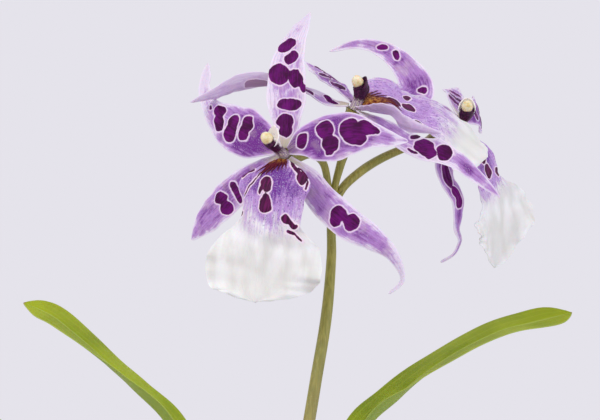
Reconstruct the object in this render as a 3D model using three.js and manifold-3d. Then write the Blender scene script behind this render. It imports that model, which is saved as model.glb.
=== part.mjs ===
// A potted aliceara orchid: a terracotta pot of bark, three pseudobulbs on their rhizome, strap leaves, and
// one flower spike with three flowers. Millimetres, +Z up. The origin is the middle of the pot's underside.
// -Y is the front, and the front flower looks that way and a little to the left.
import * as THREE from "three";
import { mergeVertices } from "three/addons/utils/BufferGeometryUtils.js";
import Module from "manifold-3d";

const wasm = await Module();
wasm.setup();

// Clearance between pieces that touch
const GAP = 0.3;

// Pot: outer radii, wall, floor, rim band, the chamfer of its edges, and the holes in its floor
const POT = {
  height: 115, rim: 65, shoulder: 59.5, foot: 45, wall: 5.5, floor: 6, band: 22, edge: 1.5, facets: 40,
};
const DRAIN = { count: 4, radius: 4.5, circle: 24, facets: 12 };

// Bark: the level of the fill, and the loose chips on it
const BARK = { level: 98, chips: 28, reach: 49, length: 19, width: 12, height: 6, highest: 111 };
const CHIP_SHIFT = { corner: [[-3.5, 2], [-2.5, 1.5], [-1.2, 1]], tilt: 0.35, rise: [0.5, 4] };

// Rhizome: its line from the oldest growth to the newest, as x, y, z and radius
const RHIZOME = [
  [-46, 11, 98.5, 2.6],
  [-38, 10, 99.3, 4.0],
  [-20, 7, 98.6, 3.6],
  [-2, 4, 99.3, 4.2],
  [14, 0, 98.6, 3.4],
  [30, -4, 99.3, 3.9],
  [38, -6, 98.8, 2.2],
];

// Roots that run over the bark and dive into it, as x, y, z and radius
const ROOTS = [
  [[-20, 6, 98.6, 1.8], [-24, -8, 100.2, 1.9], [-32, -20, 100, 1.9], [-36, -28, 96, 1.7], [-37, -31, 88, 1.3]],
  [[-6, 4, 98.6, 1.8], [-4, 18, 100.4, 1.9], [-14, 30, 100.6, 1.9], [-22, 37, 96, 1.7], [-25, 39, 88, 1.3]],
  [[12, 0, 98.6, 1.8], [10, -14, 100.3, 1.9], [18, -27, 100.6, 1.9], [16, -37, 97, 1.7], [13, -41, 88, 1.3]],
  [[18, -1, 98.6, 1.8], [26, 12, 100.4, 1.9], [36, 18, 100.2, 1.9], [42, 22, 95, 1.6], [44, 23, 88, 1.3]],
];
const RHIZOME_GRID = { sides: 10, steps: 12 };
const ROOT_GRID = { sides: 6, steps: 8 };

// Pseudobulbs: foot, half width, half depth and height, and their girth from foot to neck
const BULB_FOOT = 103.8;
const BULB_SIDES = 16;
const BULB_STEPS = 9;
const GIRTH = [0.62, 0.85, 0.97, 1.0, 0.96, 0.85, 0.68, 0.48, 0.28];
const BULBS = {
  old_pseudobulb: { at: [-38, 10], half: 13, depth: 7.5, height: 60, flutes: 0.07 },
  flowering_pseudobulb: { at: [-2, 4], half: 16, depth: 9, height: 74.5, flutes: 0.035 },
  new_pseudobulb: { at: [30, -4], half: 8, depth: 6, height: 35, flutes: 0.02 },
};

// Leaves: the midrib as x, y, z and half width, the way the upper side looks, the rise of the edges across
// the blade as a share of its half width (cup is round, fold is keeled)
const LEAF = { thick: 1.2, rows: 16, cols: 4 };
const LEAVES = {
  left_leaf: {
    rows: [
      [-4.6, 4, 178.7, 2.6], [-7, 6, 212, 6], [-15, 10, 249, 9.5], [-28, 16, 285, 10.5],
      [-44, 22, 318, 10.5], [-59.5, 28, 333.5, 11], [-73.5, 34, 345.5, 10.5], [-87, 38, 356.4, 10],
      [-95, 39.5, 361, 7.5], [-101.5, 40, 364, 0.7],
    ],
    faces: [[1, 0.1, 0], [0.9, -0.05, 0.3], [0.8, -0.1, 0.5], [0.6, -0.28, 0.75], [0.4, -0.5, 0.8]],
    fold: [0.4, 0.8, 0.5, 0.2, 0.15, 0.1],
  },
  right_leaf: {
    rows: [
      [0.6, 4, 178.7, 2.6], [3, 8, 215, 6], [9, 14, 251, 9.5], [18.5, 22, 285, 10.5],
      [30.5, 30, 315.5, 10.5], [44, 40, 328, 11], [60.5, 50, 340, 11.5], [81, 60, 350.3, 11],
      [98, 68, 354.8, 9], [108, 72, 357, 6.5], [115, 75, 358.5, 0.7],
    ],
    faces: [
      [-1, 0, 0], [-1, 0, 0.2], [-0.8, -0.15, 0.5], [-0.55, -0.15, 0.88], [-0.4, -0.25, 0.9],
      [-0.1, -0.42, 0.9], [0.05, -0.5, 0.85],
    ],
    fold: [0.4, 0.8, 0.5, 0.2, 0.15, 0.1],
  },
  old_leaf: {
    rows: [
      [-38, 10, 164.2, 2.5], [-42, 14, 205, 6.5], [-55, 22, 248, 10], [-79, 35, 283, 11],
      [-105, 47, 307, 10], [-130, 57, 322, 7.5], [-154, 64, 330, 0.7],
    ],
    faces: [[1, 0, 0], [0.8, -0.2, 0.5], [0.5, -0.3, 0.9]],
    fold: [0.4, 0.7, 0.4, 0.25, 0.2],
  },
  left_basal_leaf: {
    rows: [
      [-13, 4, 103.2, 7.6], [-18.9, 4, 122, 8], [-19.1, 4, 141, 8], [-22, 3, 160, 8.5],
      [-32, -2, 187, 10], [-54, -12, 215, 11.5], [-86, -26, 236, 10], [-120, -40, 236, 0.7],
    ],
    faces: [[1, 0, 0], [1, 0, 0], [1, 0, 0.1], [0.8, 0.2, 0.4], [0.4, 0.1, 0.9], [0, 0.1, 1]],
    cup: [0.8, 0.84, 0.84, 0.4, 0.15, 0.1, 0.1, 0.1],
    fold: [0, 0, 0, 0.2, 0.2, 0.2, 0.15, 0.1],
  },
  right_basal_leaf: {
    rows: [
      [9, 4, 103.2, 7.6], [14.9, 4, 122, 8], [15.2, 4, 141, 8], [18.5, 6, 161, 8.5],
      [27, 14, 188, 10], [47, 28, 220, 11.5], [82, 42, 242, 10], [118, 50, 238, 0.7],
    ],
    faces: [[-1, 0, 0], [-1, 0, 0], [-1, 0, 0.1], [-0.8, 0, 0.4], [-0.4, -0.1, 0.9], [0, -0.1, 1]],
    cup: [0.8, 0.84, 0.84, 0.4, 0.15, 0.1, 0.1, 0.1],
    fold: [0, 0, 0, 0.2, 0.2, 0.2, 0.15, 0.1],
  },
  new_left_sheath_leaf: {
    rows: [
      [23.2, -4, 103.2, 5], [21.3, -4, 112, 5.2], [20.7, -4, 122, 5.2], [20.2, -5, 135, 5],
      [19, -8, 150, 3.8], [16, -12, 168, 0.6],
    ],
    faces: [[1, 0, 0], [1, 0, 0], [0.9, 0.2, 0.3]],
    cup: [0.5, 0.52, 0.5, 0.3],
  },
  new_right_sheath_leaf: {
    rows: [
      [36.8, -4, 103.2, 5], [38.7, -4, 112, 5.2], [39.4, -4, 122, 5.2], [41, -4, 140, 5.2],
      [46, -4, 162, 4.4], [56, -6, 186, 0.6],
    ],
    faces: [[-1, 0, 0], [-1, 0, 0], [-0.8, 0.1, 0.5]],
    cup: [0.5, 0.52, 0.5, 0.3],
  },
  new_front_leaf: {
    rows: [
      [28.2, -4.6, 139.1, 2.2], [25, -12, 168, 5.2], [19, -27, 200, 8], [10, -48, 226, 8.5],
      [-1, -73, 236, 6], [-10, -95, 230, 0.6],
    ],
    faces: [[0.8, 0.6, 0], [0.5, 0.8, 0.3], [0.2, 0.4, 0.9], [0.1, 0, 1]],
    fold: [0.3, 0.4, 0.3, 0.2, 0.15],
  },
  new_right_leaf: {
    rows: [
      [31.8, -3.4, 139.1, 2.2], [37.5, -3.4, 175, 5.5], [47, -9, 214, 8.5], [64, -18, 250, 8.5],
      [88, -28, 276, 6.5], [112, -36, 287, 0.6],
    ],
    faces: [[-0.9, -0.4, 0], [-0.8, 0, 0.4], [-0.6, 0, 0.8], [-0.4, 0, 0.9]],
    fold: [0.3, 0.4, 0.3, 0.2, 0.15],
  },
};

// Flowers: the hub that the tepals grow round, and the way the flower looks
const HUBS = { front: [0, -20, 420], middle: [25.4, -2, 437.5], back: [66.4, 40, 434] };
const LOOKS = { front: [-0.42, -0.88, 0.22], middle: [0.46, -0.29, 0.84], back: [0.78, -0.59, 0.23] };

// Round the column: where the tepals start, how far the sepals lie above the ovary, and how far the petals
// and the lip do
const RING = 2.4;
const SEPAL_LAYER = 0;
const PETAL_LAYER = 1.35;
const OVARY_FACE = -0.7;
const COLUMN_FOOT = -0.4;

// Tepals and lips: the midrib from the hub as right, back, up and half width, and the way the front looks.
// A lip's callus is highest at its middle, and dies out at twice that share of the length.
const TEPAL = { thick: 0.8, rows: 10, cols: 4, root: 1.7 };
const LIP = { thick: 0.8, rows: 13, cols: 10, root: 2.2 };
const CALLUS = { height: 1.5, middle: 0.14, half: 0.33 };
const TEPALS = {
  front_dorsal_sepal: {
    rows: [
      [0.5, 2.5, 11, 4.7], [0.5, 5, 19.5, 6.9], [1, 8, 29.5, 6.9], [3, 12, 40, 4.9],
      [6, 17, 47, 3.1], [9.5, 23, 53, 0.5],
    ],
    cup: [0.1, 0.2, 0.15, -0.2, -0.4],
  },
  front_left_petal: {
    rows: [
      [-8.5, 3, 5, 6.2], [-15.5, 6, 8.5, 8.3], [-22.5, 11, 12.5, 6.6], [-27.5, 17, 17.5, 3.8],
      [-30, 25, 23.5, 1.9], [-29, 33, 34, 0.5],
    ],
    cup: [0.1, -0.15, -0.2, 0.2, 0.4],
  },
  front_right_petal: {
    rows: [
      [7.5, -5, 4, 5.7], [15.5, -9, 5.5, 8.3], [24, -12, 7, 7.5], [31.5, -13, 6.5, 4.6],
      [38.5, -12, 5, 2.5], [44, -10, 4.5, 0.5],
    ],
    cup: [0.1, -0.15, -0.2, 0, 0.2],
  },
  front_left_sepal: {
    rows: [
      [-8.5, 5, -6.5, 4.4], [-16.5, 9, -12, 5.6], [-23.5, 13, -18.5, 5.2], [-29, 17, -24.5, 4.2],
      [-33.5, 21, -30.5, 0.8],
    ],
    cup: [0.1, -0.1, -0.2],
  },
  front_right_sepal: {
    rows: [
      [8, -2, -9.5, 4.7], [14.5, -5, -18, 5.7], [22, -8, -25, 5.8], [30, -10, -30, 4.7],
      [37, -10, -35, 2.8], [42, -8, -41.5, 1.4], [42.5, -6, -46, 0.9], [37.5, -3, -50, 0.5],
    ],
    cup: [0.1, -0.1, -0.3, -0.3, 0.3],
  },
  middle_dorsal_sepal: {
    rows: [
      [-9, 1, 2.5, 4], [-17, 2, 7, 6], [-25.5, 2, 10, 7], [-34, 0, 11, 7], [-42.5, -2, 10, 6.2],
      [-51.5, -4, 6, 3.8], [-60, -6, 2.5, 0.5],
    ],
    faces: [[0.3, -0.3, 0.9], [0, 0.1, 1], [0, 0.42, 0.9], [-0.2, 0.42, 0.9]],
    cup: [0.1, 0.15, 0.25, 0.2],
  },
  middle_right_petal: {
    rows: [
      [-5.5, 9, 6.5, 5], [-8.5, 14, 9, 6.5], [-11.5, 19, 12, 6], [-15, 24.5, 15, 3.5],
      [-18.5, 30, 18, 0.5],
    ],
    cup: [0.1, -0.1, -0.2],
  },
  middle_left_petal: {
    rows: [
      [7.5, -10.8, -1.4, 4], [12.5, -17, -2.5, 5.6], [17, -21, -6.5, 4.6], [23, -23, -8.5, 2.4],
      [30.5, -24, -10, 0.5],
    ],
    faces: [[0.46, -0.29, 0.84], [0.2, 0.5, 0.8], [0.1, 0.7, 0.65]],
    cup: [0.1, 0.15, 0.2],
  },
  middle_right_sepal: {
    rows: [
      [14, 18, 3, 4.5], [23.5, 29, 7, 6], [24.5, 33, 13.5, 6.2], [19.5, 36, 20, 4.6],
      [12, 39, 25, 3], [2, 41, 27, 1.7], [-8.5, 42, 25, 0.5],
    ],
    faces: [[0.46, -0.29, 0.84], [0.2, -0.7, 0.6], [0.1, -0.85, 0.4], [0, -0.85, 0.2], [0, -0.8, 0.4]],
    cup: [0.1, 0.1, 0.1],
  },
  middle_left_sepal: {
    rows: [
      [8.5, -7, -5, 4.2], [16.5, -13, -11, 5.2], [22.5, -17, -14.5, 4.8], [29, -20, -16, 5],
      [35.5, -22, -19, 3.5], [42.5, -23, -24.5, 2.8], [51.5, -24, -33, 0.5],
    ],
    faces: [[0.46, -0.29, 0.84], [0.3, -0.8, 0.5], [0.2, -0.9, 0.3], [0.1, -0.9, 0.3]],
    cup: [0.1, -0.1, -0.2],
  },
  back_dorsal_sepal: {
    rows: [
      [-0.5, 9.5, 7, 4.5], [1, 20, 9.5, 6.2], [1.5, 30, 12, 5.6], [2.5, 40, 14, 3.4],
      [3.5, 48, 16, 0.5],
    ],
    faces: [[0.78, -0.59, 0.23], [0.5, -0.6, 0.6], [0.3, -0.6, 0.75]],
    cup: [0.1, -0.1, -0.2],
  },
  back_left_petal: {
    rows: [[-4, -6, 1, 5.2], [-9.5, -9, 1.5, 6.8], [-12.5, -10, 2.5, 5], [-16, -10, 3.5, 0.5]],
    cup: [0.1, -0.1, -0.2],
  },
  back_right_petal: {
    rows: [[7.5, 11, 4, 5.2], [10, 21, 4, 7.4], [11, 31, 3, 6], [12, 43, 0.5, 0.5]],
    cup: [0.1, -0.1, -0.2],
  },
  back_left_sepal: {
    rows: [
      [-3, -5, -8.5, 4], [-5.5, -8, -16.5, 4.2], [-4.5, -10, -23, 3.6], [-1, -10, -29, 2.8],
      [0, -10, -35, 2.4], [-0.5, -10, -41.5, 1.2], [0.5, -9, -46, 0.8], [-2, -8, -51, 0.6],
      [-7, -7, -54, 0.5],
    ],
    cup: [0.1, -0.1, -0.2],
  },
  back_right_sepal: {
    rows: [[6.5, 8.5, -8.5, 4.6], [13, 20, -14, 5.7], [18, 30, -22, 4.6], [21, 38, -31.5, 0.5]],
    cup: [0.1, -0.1, -0.2],
  },
};
const LIPS = {
  front_lip: {
    rows: [
      [-3.5, -7, -6, 6.3], [-6, -10.5, -11.5, 11.6], [-7, -11, -17.5, 11], [-8, -9, -25.5, 11.4],
      [-8.5, -6, -34.5, 19.2], [-9.5, -4, -44, 21], [-10, -4.5, -49.5, 16], [-10.5, -5, -53, 4],
    ],
    faces: [[-0.35, -0.7, 0.6], [-0.3, -0.9, 0.3], [-0.25, -0.97, 0], [-0.2, -0.95, 0.1]],
  },
  middle_lip: {
    rows: [
      [6.5, 1, 3, 5.5], [12.5, 4, 3.5, 10], [19, 7, 0.5, 11.5], [25.5, 10, -1, 12],
      [32.5, 12, -2.5, 11.5], [38.5, 14, -7.5, 12], [44, 15, -13, 13], [47.5, 15, -16, 11],
      [50, 15, -18, 4],
    ],
    faces: [[0.46, -0.29, 0.84], [0.42, -0.5, 0.75], [0.4, -0.6, 0.7], [0.5, -0.6, 0.6]],
    cup: [0.15, 0, -0.1, -0.15, -0.2, -0.3, -0.3],
  },
  back_lip: {
    rows: [
      [5, -4, -8, 5.8], [9.5, -3, -14.5, 9.5], [12, -1, -21, 9], [14, 1, -27, 12.5],
      [15.5, 3, -33, 18.5], [16.3, 4.5, -39, 20.5], [16.5, 5.5, -45, 16], [16, 6, -51, 9.5],
      [15, 6, -56.5, 2],
    ],
    faces: [[0.6, -0.5, 0.6], [0.75, -0.62, 0.2], [0.72, -0.65, 0.2]],
    cup: [0.2, 0, 0, 0.1, 0.2, 0.2, 0.1],
  },
};

// How the sides of a lip rise and roll back from foot to tip
const LIP_CUP = [0.2, -0.1, -0.35, -0.3, -0.15, -0.2, -0.2];

// Ruffle of a lip's edge: height as a share of its half width, how many waves from foot to tip, and how far
// the waves of one side are shifted
const RUFFLE = { share: 0.08, waves: 4.5, shift: 1.2 };

// Columns: their line from the hub as right, back, up and radius
const COLUMNS = {
  front: [[-3, -5.5, 2.4, 2.1], [-4.6, -7.7, 3.9, 2.5], [-5.6, -9.1, 4.9, 2.1]],
  middle: [[1.9, -1.4, 4, 2.1], [2.6, -2, 6.8, 2.5], [1.8, -2.9, 8.4, 2.1]],
  back: [[2.6, -3, 1.6, 2.1], [3.2, -5.4, 3.2, 2.5], [3.2, -7.2, 4.8, 2.1]],
};
const COLUMN = { foot: 1.9, straight: 2.4, flatness: 0.85, sides: 10, rings: 7 };
const ANTHER_CAP = { radius: 2.15, length: 3.6, low: -0.25, high: 0.95, sides: 10, rings: 5 };

// Spike: the stem and the side stalks to the hubs, as x, y, z and radius
const STEM = [
  [-9, -7.2, 97, 2.1], [-9, -8.6, 130, 2.1], [-6.5, -9, 165, 2.0], [-4, -9, 200, 2.0],
  [-1, -8.5, 235, 1.9], [2.6, -8, 270, 1.85], [6.4, -7.4, 305, 1.8], [11.2, -5.3, 335, 1.75],
  [15.4, -0.6, 360, 1.7], [17.2, 3.4, 382, 1.6], [17.3, 5, 398, 1.55], [20.5, 7.2, 408, 1.4],
  [27.2, 12, 415, 1.3], [35.5, 19, 420.4, 1.25], [45, 27, 424.4, 1.2], [54, 36.5, 427, 1.2],
];
const STALKS = {
  front: [[17.3, 4.9, 400, 1.2], [16, 4, 408.5, 1.3], [13, 0, 415, 1.45], [8.5, -6, 417.8, 1.7]],
  middle: [[17.5, 5, 402, 1.2], [18.6, 5.2, 409.5, 1.35], [20.6, 4.8, 417, 1.6], [22.6, 3.8, 424, 1.85]],
};
const OVARY = { back: 7, radius: 1.9, swell: 1.15, face: 2.9 };
const STALK_SIDES = 8;
const STEM_STEPS = 46;
const SIDE_STALK_STEPS = 15;

// Bracts on the stem: a point in the stem, the way the bract leans, and its length. A bract starts at the
// root's distance from that point, and stands out more along its upper half.
const BRACTS = [
  { at: [-6.9, -9, 160], lean: [-0.7, -0.7, 0], long: 13 },
  { at: [-2.6, -8.8, 216], lean: [0.8, -0.5, 0], long: 12 },
  { at: [2.9, -8, 273], lean: [-0.8, -0.4, 0], long: 11 },
  { at: [17.2, 4.8, 397], lean: [-0.8, -0.3, 0], long: 7 },
  { at: [17.9, 5.6, 401.5], lean: [0.9, 0.1, 0], long: 6 },
  { at: [54, 36.5, 426.8], lean: [0.5, -0.2, -0.8], long: 6 },
];
const BRACT = {
  half: 2.3, tip: 0.5, root: 1, out: 2.4, rise: 0.28, cup: [0.6, 0.4, 0.2], thick: 0.7, rows: 4, cols: 2,
};

const vector = (list) => new THREE.Vector3(...list);
const flat = () => 0;

// The value at t, from 0 to 1, of a smooth curve through a list of numbers.
function smooth(list, t) {
  const last = list.length - 1;
  if (last === 0) return list[0];
  const i = Math.min(Math.floor(t * last), last - 1);
  const u = t * last - i;
  const [b, c] = [list[i], list[i + 1]];
  const a = i > 0 ? list[i - 1] : 2 * b - c;
  const d = i < last - 1 ? list[i + 2] : 2 * c - b;
  return b + 0.5 * u * (c - a + u * (2 * a - 5 * b + 4 * c - d + u * (3 * (b - c) + d - a)));
}

// The same for column k of a list of rows, and for their first three columns as a point.
const column = (rows, k, t) => smooth(rows.map((row) => row[k]), t);
const point = (rows, t) => vector([0, 1, 2].map((k) => column(rows, k, t)));

// The direction in which rows run at t.
function heading(rows, t) {
  const step = 1e-3;
  return point(rows, Math.min(t + step, 1)).sub(point(rows, Math.max(t - step, 0))).normalize();
}

// The part of a direction that is square to another one.
function squared(direction, to) {
  return direction.clone().addScaledVector(to, -direction.dot(to)).normalize();
}

// -1 at the start of a spine, 1 at its end and 0 between, to prolong a grown copy.
const endSign = (t) => (t === 0 ? -1 : 0) + (t === 1 ? 1 : 0);

function geometryOf(points, faces) {
  const positions = new Float32Array(points.flatMap((p) => p.toArray()));
  return new THREE.BufferGeometry()
    .setAttribute("position", new THREE.BufferAttribute(positions, 3))
    .setIndex(faces);
}

// Closed solid through rings of points, each counter-clockwise seen from the last ring, with flat ends.
function loft(rings) {
  const sides = rings[0].length;
  const faces = [];
  for (let i = 0; i < rings.length - 1; i++) {
    for (let k = 0; k < sides; k++) {
      const a = i * sides + k;
      const b = i * sides + ((k + 1) % sides);
      faces.push(a, b, b + sides, a, b + sides, a + sides);
    }
  }
  const end = (rings.length - 1) * sides;
  for (let k = 1; k < sides - 1; k++) {
    faces.push(0, k + 1, k, end, end + k, end + k + 1);
  }
  return geometryOf(rings.flat(), faces);
}

// Round or flattened rod along rows of x, y, z and radius.
function rod(rows, { sides, steps, flatness = 1, grow = 0, start = [1, 0, 0] }) {
  let side = vector(start);
  const rings = [];
  for (let i = 0; i <= steps; i++) {
    const t = i / steps;
    const along = heading(rows, t);
    side = squared(side, along);
    const other = along.clone().cross(side);
    const centre = point(rows, t).addScaledVector(along, grow * endSign(t));
    const radius = column(rows, 3, t) + grow;
    const ring = [];
    for (let k = 0; k < sides; k++) {
      const turn = (2 * Math.PI * k) / sides;
      ring.push(
        centre
          .clone()
          .addScaledVector(side, radius * Math.cos(turn))
          .addScaledVector(other, radius * flatness * Math.sin(turn)),
      );
    }
    rings.push(ring);
  }
  return loft(rings);
}

// Thin curved blade of even thickness: spine is rows of x, y, z and half width, faces the way its front
// looks. Both faces are split into the same triangles.
function blade(shape) {
  const { spine, faces, thick, rows, cols, grow = 0 } = shape;
  const { cup = [0], fold = [0], lift = flat, relief = flat } = shape;
  const grid = [];
  for (let i = 0; i <= rows; i++) {
    const t = i / rows;
    const along = heading(spine, t);
    const face = squared(point(faces, t), along);
    const side = along.clone().cross(face);
    const half = Math.max(column(spine, 3, t), 0.4) + grow;
    const centre = point(spine, t).addScaledVector(along, grow * endSign(t));
    const line = [];
    for (let j = 0; j <= cols; j++) {
      const s = (2 * j) / cols - 1;
      const rise = half * (smooth(cup, t) * s * s + smooth(fold, t) * Math.abs(s)) + lift(t, s);
      line.push(centre.clone().addScaledVector(side, half * s).addScaledVector(face, rise));
    }
    grid.push(line);
  }
  const at = (i, j) => grid[Math.min(Math.max(i, 0), rows)][Math.min(Math.max(j, 0), cols)];
  const front = [];
  const back = [];
  for (let i = 0; i <= rows; i++) {
    for (let j = 0; j <= cols; j++) {
      const across = at(i, j + 1).clone().sub(at(i, j - 1));
      const along = at(i + 1, j).clone().sub(at(i - 1, j));
      const normal = across.cross(along).normalize();
      const out = thick / 2 + grow;
      front.push(at(i, j).clone().addScaledVector(normal, out + relief(i / rows, (2 * j) / cols - 1)));
      back.push(at(i, j).clone().addScaledVector(normal, -out));
    }
  }
  const index = (i, j) => i * (cols + 1) + j;
  const count = front.length;
  const triangles = [];
  for (let i = 0; i < rows; i++) {
    for (let j = 0; j < cols; j++) {
      const [a, b, c, d] = [index(i, j), index(i, j + 1), index(i + 1, j + 1), index(i + 1, j)];
      triangles.push(a, b, c, a, c, d);
      triangles.push(count + a, count + c, count + b, count + a, count + d, count + c);
    }
  }
  const rim = [];
  for (let j = 0; j < cols; j++) rim.push(index(0, j));
  for (let i = 0; i < rows; i++) rim.push(index(i, cols));
  for (let j = cols; j > 0; j--) rim.push(index(rows, j));
  for (let i = rows; i > 0; i--) rim.push(index(i, 0));
  rim.forEach((p, k) => {
    const q = rim[(k + 1) % rim.length];
    triangles.push(q, p, count + p, q, count + p, count + q);
  });
  return geometryOf([...front, ...back], triangles);
}

// A closed geometry as a solid that can be joined and cut, and a solid as a geometry.
function solidOf(geometry) {
  const bare = new THREE.BufferGeometry().setAttribute("position", geometry.getAttribute("position"));
  if (geometry.index) bare.setIndex(geometry.index);
  const merged = mergeVertices(bare.index ? bare.toNonIndexed() : bare, 1e-3);
  const mesh = new wasm.Mesh({
    numProp: 3,
    vertProperties: merged.attributes.position.array,
    triVerts: new Uint32Array(merged.index.array),
  });
  return new wasm.Manifold(mesh);
}

function shapeOf(solid) {
  const mesh = solid.getMesh();
  return new THREE.BufferGeometry()
    .setAttribute("position", new THREE.BufferAttribute(new Float32Array(mesh.vertProperties), 3))
    .setIndex(new THREE.BufferAttribute(new Uint32Array(mesh.triVerts), 1));
}

const joined = (solids) => solids.reduce((sum, next) => sum.add(next));

// The largest of a solid's separate bodies: loose scraps are dropped.
function largest(solid) {
  return solid.decompose().reduce((best, next) => (next.volume() > best.volume() ? next : best));
}

// Random numbers from 0 to 1, the same ones each time.
let seed = 20;
function random() {
  seed = (seed * 16807) % 2147483647;
  return seed / 2147483647;
}
const between = (low, high) => low + (high - low) * random();

// Solid turned round Z from a profile of [radius, z] points that starts and ends on the axis.
function turned(profile) {
  const geometry = new THREE.LatheGeometry(profile.map((p) => new THREE.Vector2(...p)), POT.facets);
  return solidOf(geometry.rotateX(Math.PI / 2));
}

// Inner radius of the pot at a height: the rim band is thicker than the wall below it.
function potInside(z) {
  const low = POT.foot - POT.wall;
  const high = POT.rim - 1.2 * POT.wall;
  return low + ((high - low) * (z - POT.floor)) / (POT.height - POT.floor);
}

function potShape() {
  const bandFoot = POT.height - POT.band;
  const body = turned([
    [0, 0],
    [POT.foot - POT.edge, 0],
    [POT.foot, POT.edge],
    [POT.shoulder, bandFoot],
    [POT.rim - 2 * POT.edge, bandFoot + POT.edge],
    [POT.rim, POT.height - POT.edge],
    [POT.rim - POT.edge, POT.height],
    [potInside(POT.height) + POT.edge, POT.height],
    [potInside(POT.height - POT.edge), POT.height - POT.edge],
    [potInside(POT.floor), POT.floor],
    [0, POT.floor],
  ]);
  const holes = [];
  for (let k = 0; k < DRAIN.count; k++) {
    const turn = (2 * Math.PI * (k + 0.5)) / DRAIN.count;
    const hole = new THREE.CylinderGeometry(DRAIN.radius, DRAIN.radius, 3 * POT.floor, DRAIN.facets);
    hole.rotateX(Math.PI / 2);
    hole.translate(DRAIN.circle * Math.cos(turn), DRAIN.circle * Math.sin(turn), 0);
    holes.push(solidOf(hole));
  }
  return shapeOf(body.subtract(joined(holes)));
}

// The room inside the pot, up to a height.
function potRoom(top) {
  const floor = POT.floor + GAP;
  return turned([[0, floor], [potInside(floor) - GAP, floor], [potInside(top) - GAP, top], [0, top]]);
}

// One loose chip of bark: a flat block with uneven corners, lying nearly level.
function chip(k) {
  const block = new THREE.BoxGeometry(BARK.length, BARK.width, BARK.height);
  const corners = block.getAttribute("position");
  const shift = new Map();
  for (let i = 0; i < corners.count; i++) {
    const key = [corners.getX(i), corners.getY(i), corners.getZ(i)].join();
    if (!shift.has(key)) shift.set(key, CHIP_SHIFT.corner.map((range) => between(...range)));
    const [x, y, z] = shift.get(key);
    corners.setXYZ(
      i,
      corners.getX(i) + x * Math.sign(corners.getX(i)),
      corners.getY(i) + y * Math.sign(corners.getY(i)),
      corners.getZ(i) + z * Math.sign(corners.getZ(i)),
    );
  }
  const golden = Math.PI * (3 - Math.sqrt(5));
  const radius = BARK.reach * Math.sqrt((k + 0.5) / BARK.chips);
  block.rotateX(between(-CHIP_SHIFT.tilt, CHIP_SHIFT.tilt));
  block.rotateY(between(-CHIP_SHIFT.tilt, CHIP_SHIFT.tilt));
  block.rotateZ(between(0, Math.PI));
  const height = BARK.level + between(...CHIP_SHIFT.rise);
  return solidOf(block.translate(radius * Math.cos(k * golden), radius * Math.sin(k * golden), height));
}

function rootstock(grow) {
  const rhizome = rod(RHIZOME, { ...RHIZOME_GRID, grow, start: [0, 1, 0] });
  const roots = ROOTS.map((rows) => rod(rows, { ...ROOT_GRID, grow, start: [0, 0, 1] }));
  return joined([rhizome, ...roots].map(solidOf));
}

// Fluted, flattened bulb. A grown one is the hole that it stands in.
function bulb({ at, half, depth, height, flutes }, grow = 0) {
  const rings = [];
  for (let i = 0; i <= BULB_STEPS; i++) {
    const h = i / BULB_STEPS;
    const ring = [];
    for (let k = 0; k < BULB_SIDES; k++) {
      const turn = (2 * Math.PI * k) / BULB_SIDES;
      const girth = smooth(GIRTH, h) * (1 + (k % 2 ? -flutes : 0));
      ring.push(
        vector([
          at[0] + (half * girth + grow) * Math.cos(turn),
          at[1] + (depth * girth + grow) * Math.sin(turn),
          BULB_FOOT - grow + h * (height + 2 * grow),
        ]),
      );
    }
    rings.push(ring);
  }
  return loft(rings);
}

function leaf({ rows, ...shape }, grow = 0) {
  return blade({ ...shape, spine: rows, thick: LEAF.thick, rows: LEAF.rows, cols: LEAF.cols, grow });
}

// Stem as far as the last flower, ending in that flower's ovary.
const stem = (grow = 0) => rod([...STEM, ...ovary("back")], { sides: STALK_SIDES, steps: STEM_STEPS, grow });

function barkMix() {
  const clear = [rootstock(GAP), solidOf(stem(GAP))];
  Object.values(BULBS).forEach((shape) => clear.push(solidOf(bulb(shape, GAP))));
  ["left_basal_leaf", "right_basal_leaf", "new_left_sheath_leaf", "new_right_sheath_leaf"].forEach((name) =>
    clear.push(solidOf(leaf(LEAVES[name], GAP))),
  );
  const chips = [];
  for (let k = 0; k < BARK.chips; k++) chips.push(chip(k));
  const heap = joined([potRoom(BARK.level), ...chips]).intersect(potRoom(BARK.highest));
  return shapeOf(largest(heap.subtract(joined(clear))));
}

// Small bract that grows out of the stem and leans away from it.
function bract({ at, lean, long }) {
  const foot = vector(at);
  const up = squared(new THREE.Vector3(0.1, 0, 1), vector(lean).normalize());
  const place = (share, out) =>
    foot.clone().addScaledVector(up, share * long).addScaledVector(vector(lean), out);
  const spine = [
    [...place(0, BRACT.root).toArray(), BRACT.half],
    [...place(0.5, BRACT.out).toArray(), BRACT.half * 0.8],
    [...place(1, BRACT.out + BRACT.rise * long).toArray(), BRACT.tip],
  ];
  const inward = vector(lean).negate().toArray();
  return blade({ ...BRACT, spine, faces: [inward, inward] });
}

// Rows of a flower's ovary, which swells behind the flower and ends in the flat face that it sits on.
function ovary(flower) {
  const hub = vector(HUBS[flower]);
  const look = vector(LOOKS[flower]).normalize();
  const behind = (distance) => hub.clone().addScaledVector(look, -distance).toArray();
  return [
    [...behind(OVARY.back), OVARY.radius],
    [...behind(OVARY.back / 3), OVARY.radius * OVARY.swell],
    [...behind(-OVARY_FACE), OVARY.face],
  ];
}

function spikeShape() {
  const stalks = Object.entries(STALKS).map(([flower, rows]) =>
    rod([...rows, ...ovary(flower)], { sides: STALK_SIDES, steps: SIDE_STALK_STEPS, start: [0.3, 0, 1] }),
  );
  return shapeOf(joined([stem(), ...stalks, ...BRACTS.map(bract)].map(solidOf)));
}

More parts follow.
